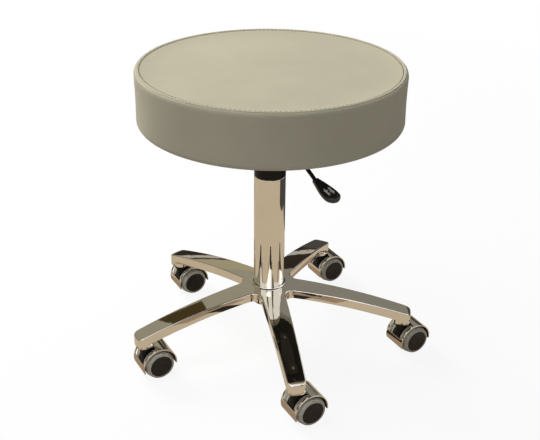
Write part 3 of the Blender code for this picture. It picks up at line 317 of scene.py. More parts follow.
LEVEL_CARDS = (                  # name, distance, half length and width, height, colour, turn about the column
    ("floor_card", 0.0, ROOM_HALF, ROOM_HALF, 0.0006, FLOOR_TAN, 0.0),
    ("ceiling", 0.9, ROOM_HALF / 2, ROOM_HALF, ROOM_HIGH, ROOM_OLIVE, QUARTER),
    ("far_shade", 1.15, 0.75, 0.45, 0.0015, NEAR_GREY, math.radians(60)),
)
LEG_CARDS = (                    # the same under each leg, which gives the turn
    ("caster_shade", STEM_CIRCLE, 0.07, 0.07, 0.0009, CASTER_SHADE),
    ("leg_shade", 0.11, 0.06, 0.02, 0.0012, SHADE),
)

# Floor, world and lamps
FLOOR_HALF = 8.0
FLOOR_SHOWN = (0.92, 0.92, 0.92, 1.0)
FLOOR_THROWN = (0.34, 0.34, 0.335, 1.0)  # colour for the light that it throws back
FLOOR_FADE = (0.5, 2.2)          # distances between which the floor turns plain white
FLOOR_WHITE = (0.90, 1.0)        # share of plain white at those distances
WORLD_LIGHT = 0.19
WHITE = (1.0, 1.0, 1.0)
WARM = (1.0, 0.99, 0.97)
LAMPS = (                        # name, place, target, width, watts, colour, whether metal shows it
    ("key", (-1.25, 1.80, 1.78), (0.0, 0.0, 0.40), 1.3, 60.0, WARM, False),
    ("top", (-0.95, -0.10, 2.5), (0.0, 0.0, 0.40), 1.0, 20.0, WARM, False),
    ("fill", (-0.6, -2.3, 1.2), (0.0, 0.0, 0.3), 1.4, 7.5, WHITE, True),
    ("rim", (1.9, 0.1, 0.9), (0.0, 0.0, 0.4), 0.8, 2.0, WHITE, True),
)

# Photo's camera
CAMERA_PLACE = (-0.2615, -1.2859, 0.9029)
CAMERA_PITCH = math.radians(27.025)
CAMERA_YAW = math.radians(10.731)
CAMERA_ROLL = math.radians(0.706)
CAMERA_LENS = 61.65
CAMERA_SENSOR = 36.0


# Properties

def length_property(name, description, default):
    """One length that a user can change."""
    return bpy.props.FloatProperty(name=name, description=description, default=default, unit="LENGTH")


def colour_property(name, description, default):
    """One colour that a user can change."""
    return bpy.props.FloatVectorProperty(
        name=name, description=description, default=default, subtype="COLOR", size=3, min=0.0, max=1.0)


class StoolSizes(bpy.types.PropertyGroup):
    """Sizes of the visible pieces."""

    seat_diameter: length_property("Seat diameter", "Width of the cushion", 0.406)
    band_height: length_property("Band height", "Lower edge of the cushion to its seam", 0.0837)
    seam_inset: length_property("Seam inset", "Seam set in from the cushion's side", 0.0082)
    rim_drop: length_property("Rim drop", "Fall of the rolled rim below the seam", 0.008)
    dish: length_property("Dish", "Fall of the top panel below its seam", 0.0048)
    seam_depth: length_property("Seam depth", "Depth of the crease at the stitches", 0.0014)
    stitch_count: bpy.props.IntProperty(
        name="Stitches", description="Number of stitches round the seam", default=184, min=8)
    stitch_length: length_property("Stitch length", "Length of one stitch", 0.0042)
    thread_radius: length_property("Thread radius", "Half the thickness of the thread", 0.00055)
    grain: length_property("Leather grain", "Size of one cell of the leather's grain", 0.0013)
    leg_edge: length_property("Leg edge", "Rounding along the top of the legs", 0.0016)
    hub_flare: length_property("Hub flare", "Rise of the hub against the column", 0.0028)
    hood_edge: length_property("Hood edge", "Rounding of the caster hood's edges", 0.0006)
    arrow_length: length_property("Arrow length", "Length of the arrows on the paddle", 0.0168)


class StoolColours(bpy.types.PropertyGroup):
    """Colours of the visible pieces, each named for its finish."""

    leather: colour_property("Leatherette", "Cover of the seat", (0.55, 0.513, 0.389))
    thread: colour_property("Thread", "Stitches of the seam", (0.17, 0.15, 0.105))
    lining: colour_property("Lining", "Cloth under the seat board", (0.006, 0.006, 0.006))
    # Chrome and casting share a warm tint: partly the metal's own colour, partly a painted reflection of the
    # tan room round it.
    chrome: colour_property("Chrome", "Column and caster hoods", (0.80, 0.765, 0.70))
    casting: colour_property("Casting", "Polished star base", (0.80, 0.765, 0.70))
    steel: colour_property("Steel", "Bolts, stems and rod", (0.50, 0.49, 0.47))
    paint: colour_property("Paint", "Seat plate, gas tube and lever rod", (0.014, 0.014, 0.015))
    plastic: colour_property("Plastic", "Bush and caster cores", (0.007, 0.0065, 0.0065))
    grip: colour_property("Grip", "Paddle of the lever", (0.032, 0.032, 0.031))
    rubber: colour_property("Rubber", "Buffer", (0.020, 0.020, 0.020))
    hub: colour_property("Wheel hub", "Discs of the wheels", (0.031, 0.027, 0.023))
    tread: colour_property("Tread", "Tyres of the wheels", (0.61, 0.575, 0.48))
    marking: colour_property("Marking", "Arrows on the paddle", (0.95, 0.95, 0.94))


def sizes():
    """The scene's size settings."""
    return bpy.context.scene.stool_sizes


def colours():
    """The scene's colour settings."""
    return bpy.context.scene.stool_colours


# Surfaces: each is (points, faces, material numbers of the faces)

def cells(rows, columns, ring_rows=False, ring_columns=False):
    """Quads of a grid of points, numbered row by row. A ring joins its last row or column to its first."""
    i = np.arange(rows if ring_rows else rows - 1)[:, None]
    j = np.arange(columns if ring_columns else columns - 1)[None, :]
    after = (i + 1) % rows
    beside = (j + 1) % columns
    corners = (i * columns + j, i * columns + beside, after * columns + beside, after * columns + j)
    return np.stack(np.broadcast_arrays(*corners), axis=-1).reshape(-1, 4)


def surface(grid, ring_rows=False, ring_columns=False):
    """Surface through a grid of points, with the first finish all over."""
    rows, columns = grid.shape[:2]
    faces = cells(rows, columns, ring_rows, ring_columns)
    return grid.reshape(-1, 3), faces.tolist(), np.zeros(len(faces), np.int32)


def merged(*parts):
    """Several surfaces as one."""
    points = np.concatenate([part[0] for part in parts])
    shifts = np.cumsum([0] + [len(part[0]) for part in parts[:-1]])
    faces = [[corner + int(more) for corner in face] for part, more in zip(parts, shifts) for face in part[1]]
    return points, faces, np.concatenate([part[2] for part in parts])


def placed(part, matrix):
    """A surface moved by a 4 by 4 matrix."""
    return part[0] @ matrix[:3, :3].T + matrix[:3, 3], part[1], part[2]


def placing(x_axis, y_axis, z_axis, origin):
    """Matrix that takes the unit axes to three directions at a place."""
    matrix = np.eye(4)
    matrix[:3, :4] = np.array((x_axis, y_axis, z_axis, origin), float).T
    return matrix


def shift(x, y, z):
    """Matrix of a plain move."""
    return placing((1, 0, 0), (0, 1, 0), (0, 0, 1), (x, y, z))


def spin(angle):
    """Matrix of a turn about Z."""
    c, s = math.cos(angle), math.sin(angle)
    return placing((c, s, 0), (-s, c, 0), (0, 0, 1), (0, 0, 0))


AT_COLUMN = shift(*COLUMN_AXIS, 0.0)
TO_LEFT = placing((1, 0, 0), (0, 0, -1), (0, 1, 0), (0, 0, 0))     # +Z to +Y
TO_RIGHT = placing((1, 0, 0), (0, 0, 1), (0, -1, 0), (0, 0, 0))    # +Z to -Y


def arc(centre, radius, start, end, steps):
    """Points (centre + radius * (cos a, sin a)) of a circular arc, its ends included."""
    angle = np.linspace(start, end, steps + 1)
    return np.array(centre) + radius * np.stack((np.cos(angle), np.sin(angle)), axis=-1)


def smooth_step(share):
    """Rise from 0 to 1 as 3 t^2 - 2 t^3."""
    t = np.clip(share, 0.0, 1.0)
    return t * t * (3 - 2 * t)


def rounded(corners, closed=True):
    """Outline through (x, y, rounding) corners, each with an arc tangent to its two sides.

    A short straight step beside each arc keeps the shading of long sides flat.
    """
    points = []
    count = len(corners)
    for k, (x, y, radius) in enumerate(corners):
        here = np.array((x, y), float)
        if radius <= 0 or (not closed and k in (0, count - 1)):
            points.append(here[None])
            continue
        before = np.array(corners[k - 1][:2]) - here
        after = np.array(corners[(k + 1) % count][:2]) - here
        room = (np.linalg.norm(before), np.linalg.norm(after))
        back, ahead = before / room[0], after / room[1]
        half = math.acos(np.clip(back @ ahead, -1.0, 1.0)) / 2
        reach = min(radius / math.tan(half), LARGEST_ROUND * min(room))
        radius = reach * math.tan(half)
        middle = here + (back + ahead) / np.linalg.norm(back + ahead) * radius / math.sin(half)
        first, last = here + back * reach - middle, here + ahead * reach - middle
        sweep = math.pi - 2 * half
        t = np.linspace(0, 1, ARC_STEPS + 1)[:, None]
        bow = middle + (np.sin((1 - t) * sweep) * first + np.sin(t * sweep) * last) / math.sin(sweep)
        rest = REST_STEP[0] * reach + REST_STEP[1] * min(room)
        points += [(here + back * (reach + rest))[None], bow, (here + ahead * (reach + rest))[None]]
    return np.concatenate(points)


def swept_round(outline, columns):
    """Points (r cos a, r sin a, h) of an outline of (r, h) swept about Z."""
    angle = np.linspace(0, 2 * math.pi, columns, endpoint=False)
    ring = np.stack((np.cos(angle), np.sin(angle)), axis=-1)
    flat = outline[:, None, :1] * ring[None]
    height = np.broadcast_to(outline[:, None, 1:], (*flat.shape[:2], 1))
    return np.concatenate((flat, height), axis=-1)


def turned(section, columns):
    """Surface of a section of rounded corners turned about Z."""
    on_axis = section[0][0] == 0
    outline = rounded(section, closed=not on_axis)
    return surface(swept_round(outline, columns), ring_rows=not on_axis, ring_columns=True)


def plug(radius, low, high):
    """Plain cylinder about Z, which cuts a hole."""
    return turned(((0, low, 0), (radius, low, 0), (radius, high, 0), (0, high, 0)), PIN_COLUMNS)


def prism(outline, low, high):
    """Block of an (x, y) outline between two heights."""
    count = len(outline)
    grid = np.stack([np.column_stack((outline, np.full(count, z))) for z in (low, high)])
    points, faces, _ = surface(grid, ring_columns=True)
    faces = faces + [list(range(count)), list(range(count, 2 * count))]
    return points, faces, np.zeros(len(faces), np.int32)


def mesh_of(part, name):
    """Closed mesh of a surface: doubled points welded, faces turned outwards, and shaded smooth."""
    points, faces, tags = part
    mesh = bpy.data.meshes.new(name)
    mesh.from_pydata(points.tolist(), [], faces)
    mesh.polygons.foreach_set("material_index", tags)
    form = bmesh.new()
    form.from_mesh(mesh)
    bmesh.ops.remove_doubles(form, verts=form.verts, dist=WELD)
    bmesh.ops.recalc_face_normals(form, faces=form.faces)
    loose = sum(not edge.is_manifold for edge in form.edges)
    form.to_mesh(mesh)
    form.free()
    if loose or not mesh.polygons:
        raise ValueError(f"{name} isn't closed: {loose} of its edges don't join two faces")
    mesh.shade_smooth()
    mesh.set_sharp_from_angle(angle=SHARP_ANGLE)
    return mesh


def linked(mesh, name):
    """Object of a mesh, in the scene."""
    made = bpy.data.objects.new(name, mesh)
    bpy.context.scene.collection.objects.link(made)
    return made


def vertex_places(mesh):
    """Places of a mesh's points."""
    flat = np.zeros(len(mesh.vertices) * 3)
    mesh.vertices.foreach_get("co", flat)
    return flat.reshape(-1, 3)


def combined(base, joined=(), cut=()):
    """Surface of a solid after others are joined to it and cut from it."""
    body = linked(mesh_of(base, "body"), "body")
    tools = []
    for operation, parts in (("UNION", joined), ("DIFFERENCE", cut)):
        for part in parts:
            tools.append(linked(mesh_of(part, "tool"), "tool"))
            step = body.modifiers.new(operation, "BOOLEAN")
            step.operation = operation
            step.solver = "EXACT"
            step.object = tools[-1]
    ready = body.evaluated_get(bpy.context.evaluated_depsgraph_get()).to_mesh()
    points = vertex_places(ready)
    faces = [list(face.vertices) for face in ready.polygons]
    for used in (body, *tools):
        bpy.data.meshes.remove(used.data)
    return points, faces, np.zeros(len(faces), np.int32)


def add_piece(name, part, body, finishes, nodes=()):
    """A finished piece in the scene: it rides on a body and stands for some of the frame's nodes."""
    mesh = mesh_of(part, name)
    for each in finishes:
        mesh.materials.append(finish(each))
    made = linked(mesh, name)
    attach(made, body)
    if nodes:
        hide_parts(*nodes)
    return made


# Finishes

CLOUDS = (0.3, 0.7)              # range that holds most values of a cloudy pattern
WAVE_SCALE = 0.314               # scale at which a wave pattern repeats once in a metre


def set_values(node, **values):
    """Inputs and settings of a shader node, each by its name."""
    for key, value in values.items():
        label = key.replace("_", " ")
        if label in node.inputs:
            node.inputs[label].default_value = value
        else:
            setattr(node, key, value)


def add_node(tree, kind, **values):
    """Shader node with its inputs and settings."""
    made = tree.nodes.new("ShaderNode" + kind)
    set_values(made, **values)
    return made


def place_of(tree, stretch=None):
    """Place on the object, in metres, stretched along its axes."""
    place = add_node(tree, "TexCoord").outputs["Object"]
    if stretch is None:
        return place
    mapping = add_node(tree, "Mapping", Scale=stretch)
    tree.links.new(place, mapping.inputs["Vector"])
    return mapping.outputs["Vector"]


def noise(tree, size, detail=3.0, stretch=None):
    """Cloudy pattern whose patches have that size."""
    made = add_node(tree, "TexNoise", Scale=1 / size, Detail=detail)
    tree.links.new(place_of(tree, stretch), made.inputs["Vector"])
    return made.outputs[0]


def pebbles(tree, size):
    """Soft cells of that size, as on grained leather."""
    made = add_node(tree, "TexVoronoi", feature="SMOOTH_F1", Scale=1 / size, Smoothness=0.6)
    tree.links.new(place_of(tree), made.inputs["Vector"])
    return made.outputs["Distance"]


def weave(tree, size):
    """Crossing threads of that size."""
    bands = []
    for direction in ("X", "Y"):
        made = add_node(tree, "TexWave", bands_direction=direction, Scale=WAVE_SCALE / size)
        tree.links.new(place_of(tree), made.inputs["Vector"])
        bands.append(made.outputs["Fac"])
    return reckoned(tree, "MULTIPLY", *bands)


def reckoned(tree, operation, first, second):
    """Two values, or a value and a number, put together."""
    made = add_node(tree, "Math", operation=operation)
    tree.links.new(first, made.inputs[0])
    if isinstance(second, float):
        made.inputs[1].default_value = second
    else:
        tree.links.new(second, made.inputs[1])
    return made.outputs[0]


def spread(tree, source, low, high, to_low, to_high):
    """A value taken from one range to another."""
    made = add_node(tree, "MapRange", From_Min=low, From_Max=high, To_Min=to_low, To_Max=to_high)
    tree.links.new(source, made.inputs["Value"])
    return made.outputs["Result"]


def cloudy(tree, size, detail=3.0):
    """Cloudy pattern spread from 0 to 1."""
    return spread(tree, noise(tree, size, detail), *CLOUDS, 0.0, 1.0)


def tinted(tree, shader, source, colour, dark, light):
    """Base colour between two shares of a colour, by a value."""
    mix = add_node(tree, "Mix", data_type="RGBA")
    for socket, share in ((6, dark), (7, light)):
        mix.inputs[socket].default_value = (*[min(channel * share, 1.0) for channel in colour], 1.0)
    tree.links.new(source, mix.inputs[0])
    tree.links.new(mix.outputs[2], shader.inputs["Base Color"])


def bumped(tree, shader, source, depth):
    """Relief of that depth in metres."""
    bump = add_node(tree, "Bump", Strength=1.0, Distance=depth)
    tree.links.new(source, bump.inputs["Height"])
    tree.links.new(bump.outputs["Normal"], shader.inputs["Normal"])


def roughened(tree, shader, source, low, high):
    """Roughness between two values, by a cloudy pattern."""
    tree.links.new(spread(tree, source, *CLOUDS, low, high), shader.inputs["Roughness"])


def leather_looks(tree, shader, colour):
    """Grained leatherette with slightly uneven colour and shine."""
    cell = sizes().grain
    tinted(tree, shader, cloudy(tree, 0.09, 4.0), colour, dark=0.955, light=1.03)
    roughened(tree, shader, noise(tree, 0.03), low=0.46, high=0.58)
    grain = reckoned(tree, "ADD", pebbles(tree, cell), noise(tree, cell / 4, 2.0))
    bumped(tree, shader, grain, depth=0.00016)
    set_values(shader, Specular_IOR_Level=0.3, Sheen_Weight=0.08, Sheen_Roughness=0.35)


def thread_looks(tree, shader, colour):
    """Twisted sewing thread."""
    twist = noise(tree, 0.0007, 2.0)
    tinted(tree, shader, twist, colour, dark=0.8, light=1.15)
    bumped(tree, shader, twist, depth=0.0001)
    set_values(shader, Roughness=0.7)


def lining_looks(tree, shader, colour):
    """Black woven lining."""
    threads = weave(tree, 0.0011)
    tinted(tree, shader, threads, colour, dark=0.5, light=1.5)
    bumped(tree, shader, threads, depth=0.0003)
    set_values(shader, Roughness=0.9)


def chrome_looks(tree, shader, colour, dullness=0.02):
    """Chrome plate with faint wiping marks and smudges."""
    smudge = spread(tree, noise(tree, 0.035, 5.0), 0.45, 0.75, 0.0, 0.05)
    wiping = spread(tree, noise(tree, 0.0012, 2.0, (1.0, 1.0, 0.06)), 0.35, 0.75, 0.0, 0.025)
    marks = reckoned(tree, "ADD", reckoned(tree, "ADD", smudge, wiping), dullness)
    tree.links.new(marks, shader.inputs["Roughness"])
    tinted(tree, shader, cloudy(tree, 0.06), colour, dark=0.97, light=1.02)
    set_values(shader, Metallic=1.0)


def casting_looks(tree, shader, colour):
    """Polished casting, a little duller and less flat than plate."""
    chrome_looks(tree, shader, colour, dullness=0.03)
    bumped(tree, shader, noise(tree, 0.012, 1.0), depth=0.00006)


def steel_looks(tree, shader, colour):
    """Plain turned steel."""
    lines = noise(tree, 0.0006, 2.0, (0.05, 0.05, 1.0))
    tinted(tree, shader, noise(tree, 0.006), colour, dark=0.85, light=1.1)
    roughened(tree, shader, lines, low=0.22, high=0.40)
    bumped(tree, shader, lines, depth=0.00003)
    set_values(shader, Metallic=1.0)


def paint_looks(tree, shader, colour):
    """Black powder coat with its orange-peel relief."""
    tinted(tree, shader, noise(tree, 0.02), colour, dark=0.8, light=1.3)
    roughened(tree, shader, noise(tree, 0.008), low=0.36, high=0.50)
    bumped(tree, shader, noise(tree, 0.0014, 1.0), depth=0.00008)


def plastic_looks(tree, shader, colour):
    """Black moulded plastic with a fine spark-eroded grain."""
    tinted(tree, shader, noise(tree, 0.015), colour, dark=0.8, light=1.3)
    roughened(tree, shader, noise(tree, 0.005), low=0.30, high=0.44)
    bumped(tree, shader, noise(tree, 0.0004, 2.0), depth=0.00003)
    set_values(shader, Specular_IOR_Level=0.2)


def grip_looks(tree, shader, colour):
    """Shinier black plastic, rubbed by hands."""
    tinted(tree, shader, noise(tree, 0.012), colour, dark=0.8, light=1.3)
    roughened(tree, shader, noise(tree, 0.004), low=0.24, high=0.36)
    bumped(tree, shader, noise(tree, 0.0004, 2.0), depth=0.00002)


def rubber_looks(tree, shader, colour):
    """Dull black rubber."""
    tinted(tree, shader, noise(tree, 0.004), colour, dark=0.7, light=1.3)
    bumped(tree, shader, noise(tree, 0.0005), depth=0.00005)
    set_values(shader, Roughness=0.8)


def hub_looks(tree, shader, colour):
    """Dark wheel plastic with light scuffs."""
    scuff = spread(tree, noise(tree, 0.002, 4.0, (1.0, 1.0, 3.0)), 0.5, 0.8, 0.0, 1.0)
    tinted(tree, shader, scuff, colour, dark=1.0, light=1.6)
    roughened(tree, shader, noise(tree, 0.006), low=0.28, high=0.42)
    bumped(tree, shader, noise(tree, 0.0005, 2.0), depth=0.00003)
    set_values(shader, Specular_IOR_Level=0.25)


def tread_looks(tree, shader, colour):
    """Grey tyre plastic with dirt picked up from the floor."""
    clean = spread(tree, noise(tree, 0.004, 5.0), 0.35, 0.7, 1.0, 0.0)
    tinted(tree, shader, clean, colour, dark=0.72, light=1.0)
    roughened(tree, shader, noise(tree, 0.003), low=0.30, high=0.48)
    bumped(tree, shader, noise(tree, 0.0008, 2.0), depth=0.00004)


def marking_looks(tree, shader, colour):
    """Pale printed ink."""
    tinted(tree, shader, noise(tree, 0.0006), colour, dark=0.94, light=1.05)
    set_values(shader, Roughness=0.6)


LOOKS = {
    "leather": leather_looks,
    "thread": thread_looks,
    "lining": lining_looks,
    "chrome": chrome_looks,
    "casting": casting_looks,
    "steel": steel_looks,
    "paint": paint_looks,
    "plastic": plastic_looks,
    "grip": grip_looks,
    "rubber": rubber_looks,
    "hub": hub_looks,
    "tread": tread_looks,
    "marking": marking_looks,
}


def finish(name):
    """Material of a finish, made the first time it is asked for."""
    made = bpy.data.materials.get("look_" + name)
    if made is None:
        made = bpy.data.materials.new("look_" + name)
        made.use_nodes = True
        tree = made.node_tree
        LOOKS[name](tree, tree.nodes["Principled BSDF"], getattr(colours(), name))
    return made


# Seat cushion

def seam_place():
    """Radius and height of the seam between the top panel and its lip, without its crease."""
    size = sizes()
    return size.seat_diameter / 2 - size.seam_inset, SEAT_BOTTOM + size.band_height


def seat_section():
    """Right half of the cushion's outside, from its lower edge to the middle of its top.

    The lower edge is an arc, the band is drawn in along a parabola and rolls over in a quarter of a
    superellipse. Leather rises out of a seam as 1 - exp(-d / spread). The lip between the rolled rim and
    the stitches is straight, and the panel falls as 1 - share^power.
    Gives the (radius, height) points, and how far each lies in before the cushion is filled.
    """
    size = sizes()
    edge = size.seat_diameter / 2
    seam_radius, seam = seam_place()
    band_low, band_high = SEAT_BOTTOM + LOWER_ROUND, seam - size.rim_drop
    lower = arc((edge - LOWER_ROUND, band_low), LOWER_ROUND, -QUARTER, 0.0, LOWER_ROWS)
    share = np.linspace(0, 1, BAND_ROWS + 1)[1:]
    band = np.column_stack((
        edge - DRAW_IN * 4 * share * (1 - share),
        band_low + (band_high - band_low) * share,
    ))
    turn = np.linspace(0, QUARTER, RIM_ROWS + 1)[1:]
    roll, rise = superellipse(turn, RIM_POWER)
    rim = np.column_stack((
        seam_radius + LIP_WIDTH + (size.seam_inset - LIP_WIDTH) * roll,
        band_high + (size.rim_drop + LIP_RISE) * rise,
    ))
    run = np.concatenate(([0.0], np.cumsum(np.hypot(*np.diff(rim, axis=0).T))))
    apart = np.abs(run - np.interp(EDGE_SEAM_TURN, turn, run))
    rim = rim - outward(rim) * (EDGE_SEAM_DEPTH * np.exp(-apart / EDGE_SEAM_SPREAD))[:, None]
    out = LIP_WIDTH * np.linspace(1, 0, LIP_ROWS + 1)[1:]
    lip = np.column_stack((
        seam_radius + out,
        seam + LIP_RISE * out / LIP_WIDTH - size.seam_depth * np.exp(-out / SEAM_SPREAD),
    ))
    inwards = seam_radius * np.linspace(0, 1, PANEL_ROWS + 1)[1:] ** PANEL_ROW_POWER
    panel = np.column_stack((
        seam_radius - inwards,
        seam
        - size.seam_depth * np.exp(-inwards / SEAM_SPREAD)
        - size.dish * (1 - (1 - inwards / seam_radius) ** PANEL_POWER),
    ))
    slack = np.concatenate((
        np.zeros(len(lower)),
        BAND_SLACK * np.sin(math.pi * share) ** 0.5,
        np.zeros(len(rim) + len(lip)),
        PANEL_SLACK * (1 - np.exp(-inwards / PANEL_SLACK_REACH)),
    ))
    return np.concatenate((lower, band, rim, lip, panel)), slack


def outward(section):
    """Unit normals of a section that runs from the underside out and up to the middle."""
    along = np.gradient(section, axis=0)
    normal = np.column_stack((along[:, 1], -along[:, 0]))
    return normal / np.linalg.norm(normal, axis=1, keepdims=True)


def held_points(points):
    """Points that the cloth keeps: the underside, and the leather sewn at the seam."""
    seam_radius, seam = seam_place()
    reach = np.hypot(points[:, 0], points[:, 1])
    under = points[:, 2] < SEAT_BOTTOM + CLOTH_VOXEL
    sewn = (np.abs(reach - seam_radius) < CLOTH_VOXEL) & (points[:, 2] > seam - 2 * CLOTH_VOXEL)
    return np.flatnonzero(under | sewn)


def blown_up(slim):
    """Points of a coarse bag of a slack section, and their moves when pressure fills it as cloth."""
    scene = bpy.context.scene
    outline = np.concatenate(([(0.0, SEAT_BOTTOM)], slim))
    bag = linked(mesh_of(surface(swept_round(outline, BAG_COLUMNS), ring_columns=True), "bag"), "bag")
    remesh = bag.modifiers.new("remesh", "REMESH")
    remesh.mode = "VOXEL"
    remesh.voxel_size = CLOTH_VOXEL
    ready = bpy.data.meshes.new_from_object(bag.evaluated_get(bpy.context.evaluated_depsgraph_get()))
    bag.modifiers.clear()
    bag.data = ready
    start = vertex_places(ready)
    held = bag.vertex_groups.new(name="held")
    held.add(held_points(start).tolist(), 1.0, "ADD")
    cloth = bag.modifiers.new("cloth", "CLOTH")
    cloth.settings.quality = CLOTH_QUALITY
    cloth.settings.tension_stiffness = CLOTH_TENSION
    cloth.settings.use_pressure = True
    cloth.settings.uniform_pressure_force = CLOTH_PRESSURE
    cloth.settings.vertex_group_mass = "held"
    cloth.settings.effector_weights.gravity = 0.0
    cloth.point_cache.frame_start = 1
    cloth.point_cache.frame_end = CLOTH_FRAMES
    for number in range(1, CLOTH_FRAMES + 1):
        scene.frame_set(number)
    moved = vertex_places(bag.evaluated_get(bpy.context.evaluated_depsgraph_get()).data) - start
    scene.frame_set(1)
    bpy.data.objects.remove(bag)
    return start, moved


def filled_share(section, slack):
    """How far the leather is filled out, from 0 to 1, over angle and section.

    A coarse slack copy of the cushion is blown up as cloth, held at its underside and its seam.
    The move along the normal, over the slack, is averaged in bins and blurred.
    """
    rows = len(section)
    around, along = FILL_BINS
    normals = outward(section)
    slim = section - normals * slack[:, None]
    start, moved = blown_up(slim)
    reach = np.hypot(start[:, 0], start[:, 1])
    angle = np.arctan2(start[:, 1], start[:, 0])
    gaps = (reach[:, None] - slim[None, :, 0]) ** 2 + (start[:, 2, None] - slim[None, :, 1]) ** 2
    row = np.argmin(gaps, axis=1)
    near = gaps[np.arange(len(gaps)), row] < CLOTH_VOXEL ** 2
    out = (np.cos(angle) * moved[:, 0] + np.sin(angle) * moved[:, 1]) * normals[row, 0]
    push = out + moved[:, 2] * normals[row, 1]
    share = np.clip(push / np.maximum(slack[row], LEAST_SLACK), 0.0, 1.0)
    column = ((angle / (2 * math.pi)) % 1.0 * around).astype(int) % around
    band = row * along // rows
    total = np.zeros((around, along))
    weight = np.zeros((around, along))
    np.add.at(total, (column, band), share * near)
    np.add.at(weight, (column, band), near)
    means = total.sum(axis=0) / np.maximum(weight.sum(axis=0), 1.0)
    shares = np.where(weight > 0, total / np.maximum(weight, 1.0), means[None])
    shares = (np.roll(shares, 1, axis=0) + 2 * shares + np.roll(shares, -1, axis=0)) / 4
    middles = (np.arange(along) + 0.5) * rows / along
    return np.stack([np.interp(np.arange(rows), middles, line) for line in shares])


def seat_surface():
    """Points of the filled cushion: rows along its section, columns round it.

    The section moves along its normal: in by the slack that isn't filled, by puckers that follow
    exp(-d / reach) (1 + cos n a) / 2 at n stitches, and on the band by a sum of cosines of the angle a.
    """
    size = sizes()
    section, slack = seat_section()
    normals = outward(section)
    columns = COLUMNS_PER_STITCH * size.stitch_count
    angle = np.linspace(0, 2 * math.pi, columns, endpoint=False)
    shares = filled_share(section, slack)
    around = np.arange(columns) * len(shares) / columns
    low = around.astype(int)
    part = (around - low)[:, None]
    fill = shares[low] * (1 - part) + shares[(low + 1) % len(shares)] * part
    lift = -slack[None] * (1 - fill)

    seam_radius, seam = seam_place()
    from_seam = np.hypot(section[:, 0] - seam_radius, section[:, 1] - seam)
    pull = PUCKER * np.exp(-from_seam / PUCKER_REACH)
    lift = lift - pull[None] * (0.5 + 0.5 * np.cos(size.stitch_count * angle))[:, None]
    random = np.random.default_rng(SEED)
    waves = sum(
        random.uniform(0.3, 1.0) * np.cos(k * angle + random.uniform(0, 2 * math.pi)) for k in BAND_WAVE_COUNTS
    )
    above, below = BAND_WAVE_FADE
    body = smooth_step((section[:, 1] - SEAT_BOTTOM) / above) * smooth_step(from_seam / below)
    on_band = section[:, 0] > seam_radius
    lift = lift - BAND_WAVE * (0.5 + BAND_WAVE_SHARE * waves)[:, None] * (body * on_band)[None]

    reach = section[:, 0] + lift * normals[:, 0]
    height = section[:, 1] + lift * normals[:, 1]
    reach[:, -1] = 0.0
    height[:, -1] = height[:, -1].mean()
    grid = np.stack((reach * np.cos(angle)[:, None], reach * np.sin(angle)[:, None], height), axis=-1)
    return grid.transpose(1, 0, 2)


def stitch_surface():
    """All the stitches: bars along the seam, their ends bent down into the leather.

    A bar is a superellipse along its length, (L a / 2, t sqrt(1 - a^4) cos b, t sqrt(1 - a^4) sin b - d a^2).
    """
    size = sizes()
    count = size.stitch_count
    rows, columns = STITCH_GRID
    a = np.linspace(-1, 1, rows)
    b = np.linspace(0, 2 * math.pi, columns, endpoint=False)
    thick = size.thread_radius * np.sqrt(1 - a ** 4)
    along = np.broadcast_to((size.stitch_length / 2 * a)[:, None], STITCH_GRID)
    out = thick[:, None] * np.cos(b)[None]
    up = thick[:, None] * np.sin(b)[None] - (STITCH_DIP * size.thread_radius * a ** 2)[:, None]
    radius, seam = seam_place()
    height = seam - STITCH_SINK * size.seam_depth + size.thread_radius
    angle = (2 * math.pi * (np.arange(count) + 0.5) / count)[:, None, None]
    turn = angle + along[None] / radius
    reach = radius + out[None]
    points = np.stack((
        reach * np.cos(turn), reach * np.sin(turn), np.broadcast_to(height + up[None], turn.shape)
    ), axis=-1).reshape(-1, 3)
    one = cells(rows, columns, ring_columns=True)
    faces = (one[None] + (np.arange(count) * rows * columns)[:, None, None]).reshape(-1, 4)
    return points, faces.tolist(), np.zeros(len(faces), np.int32)


def build_seat():
    """Cushion with its seam and stitches, and the lining under its board."""
    grid = seat_surface()
    edge = sizes().seat_diameter / 2 - LOWER_ROUND
    under = np.array((
        *RECESS,
        (TURN_UNDER_RADIUS, COVER_EDGE_TOP),
        (TURN_UNDER_RADIUS, SEAT_BOTTOM + TURN_UNDER_ROUND),
        (TURN_UNDER_RADIUS + TURN_UNDER_ROUND, SEAT_BOTTOM),
        (edge - TURN_UNDER_FLAT, SEAT_BOTTOM),
    ))
    hidden = swept_round(under, grid.shape[1])
    part = surface(np.concatenate((hidden, grid)), ring_columns=True)
    cushion = add_piece(
        "seat_cushion", placed(part, AT_COLUMN), "seat", ["leather"],
        ["seat_cover", "seat_foam"])
    add_piece("seat_stitches", placed(stitch_surface(), AT_COLUMN), "seat", ["thread"])
    for node, look in (("seat_board", "lining"), ("seat_plate", "paint")):
        for holder in frame["nodes"][node].material_slots:
            holder.material = finish(look)


# Release lever

def lever_frame():
    """Matrix of the lever: X along it, Y along its pin, its origin in the pivot."""
    pivot = JOINTS["lever_pull"]
    across = pivot["axis"]
    return placing((-across[1], across[0], 0), (-across[0], -across[1], 0), (0, 0, 1), pivot["pos_m"])


def superellipse(angle, power):
    """Cosine and sine raised to a power, with their signs kept."""
    c, s = np.cos(angle), np.sin(angle)
    return np.sign(c) * np.abs(c) ** power, np.sign(s) * np.abs(s) ** power


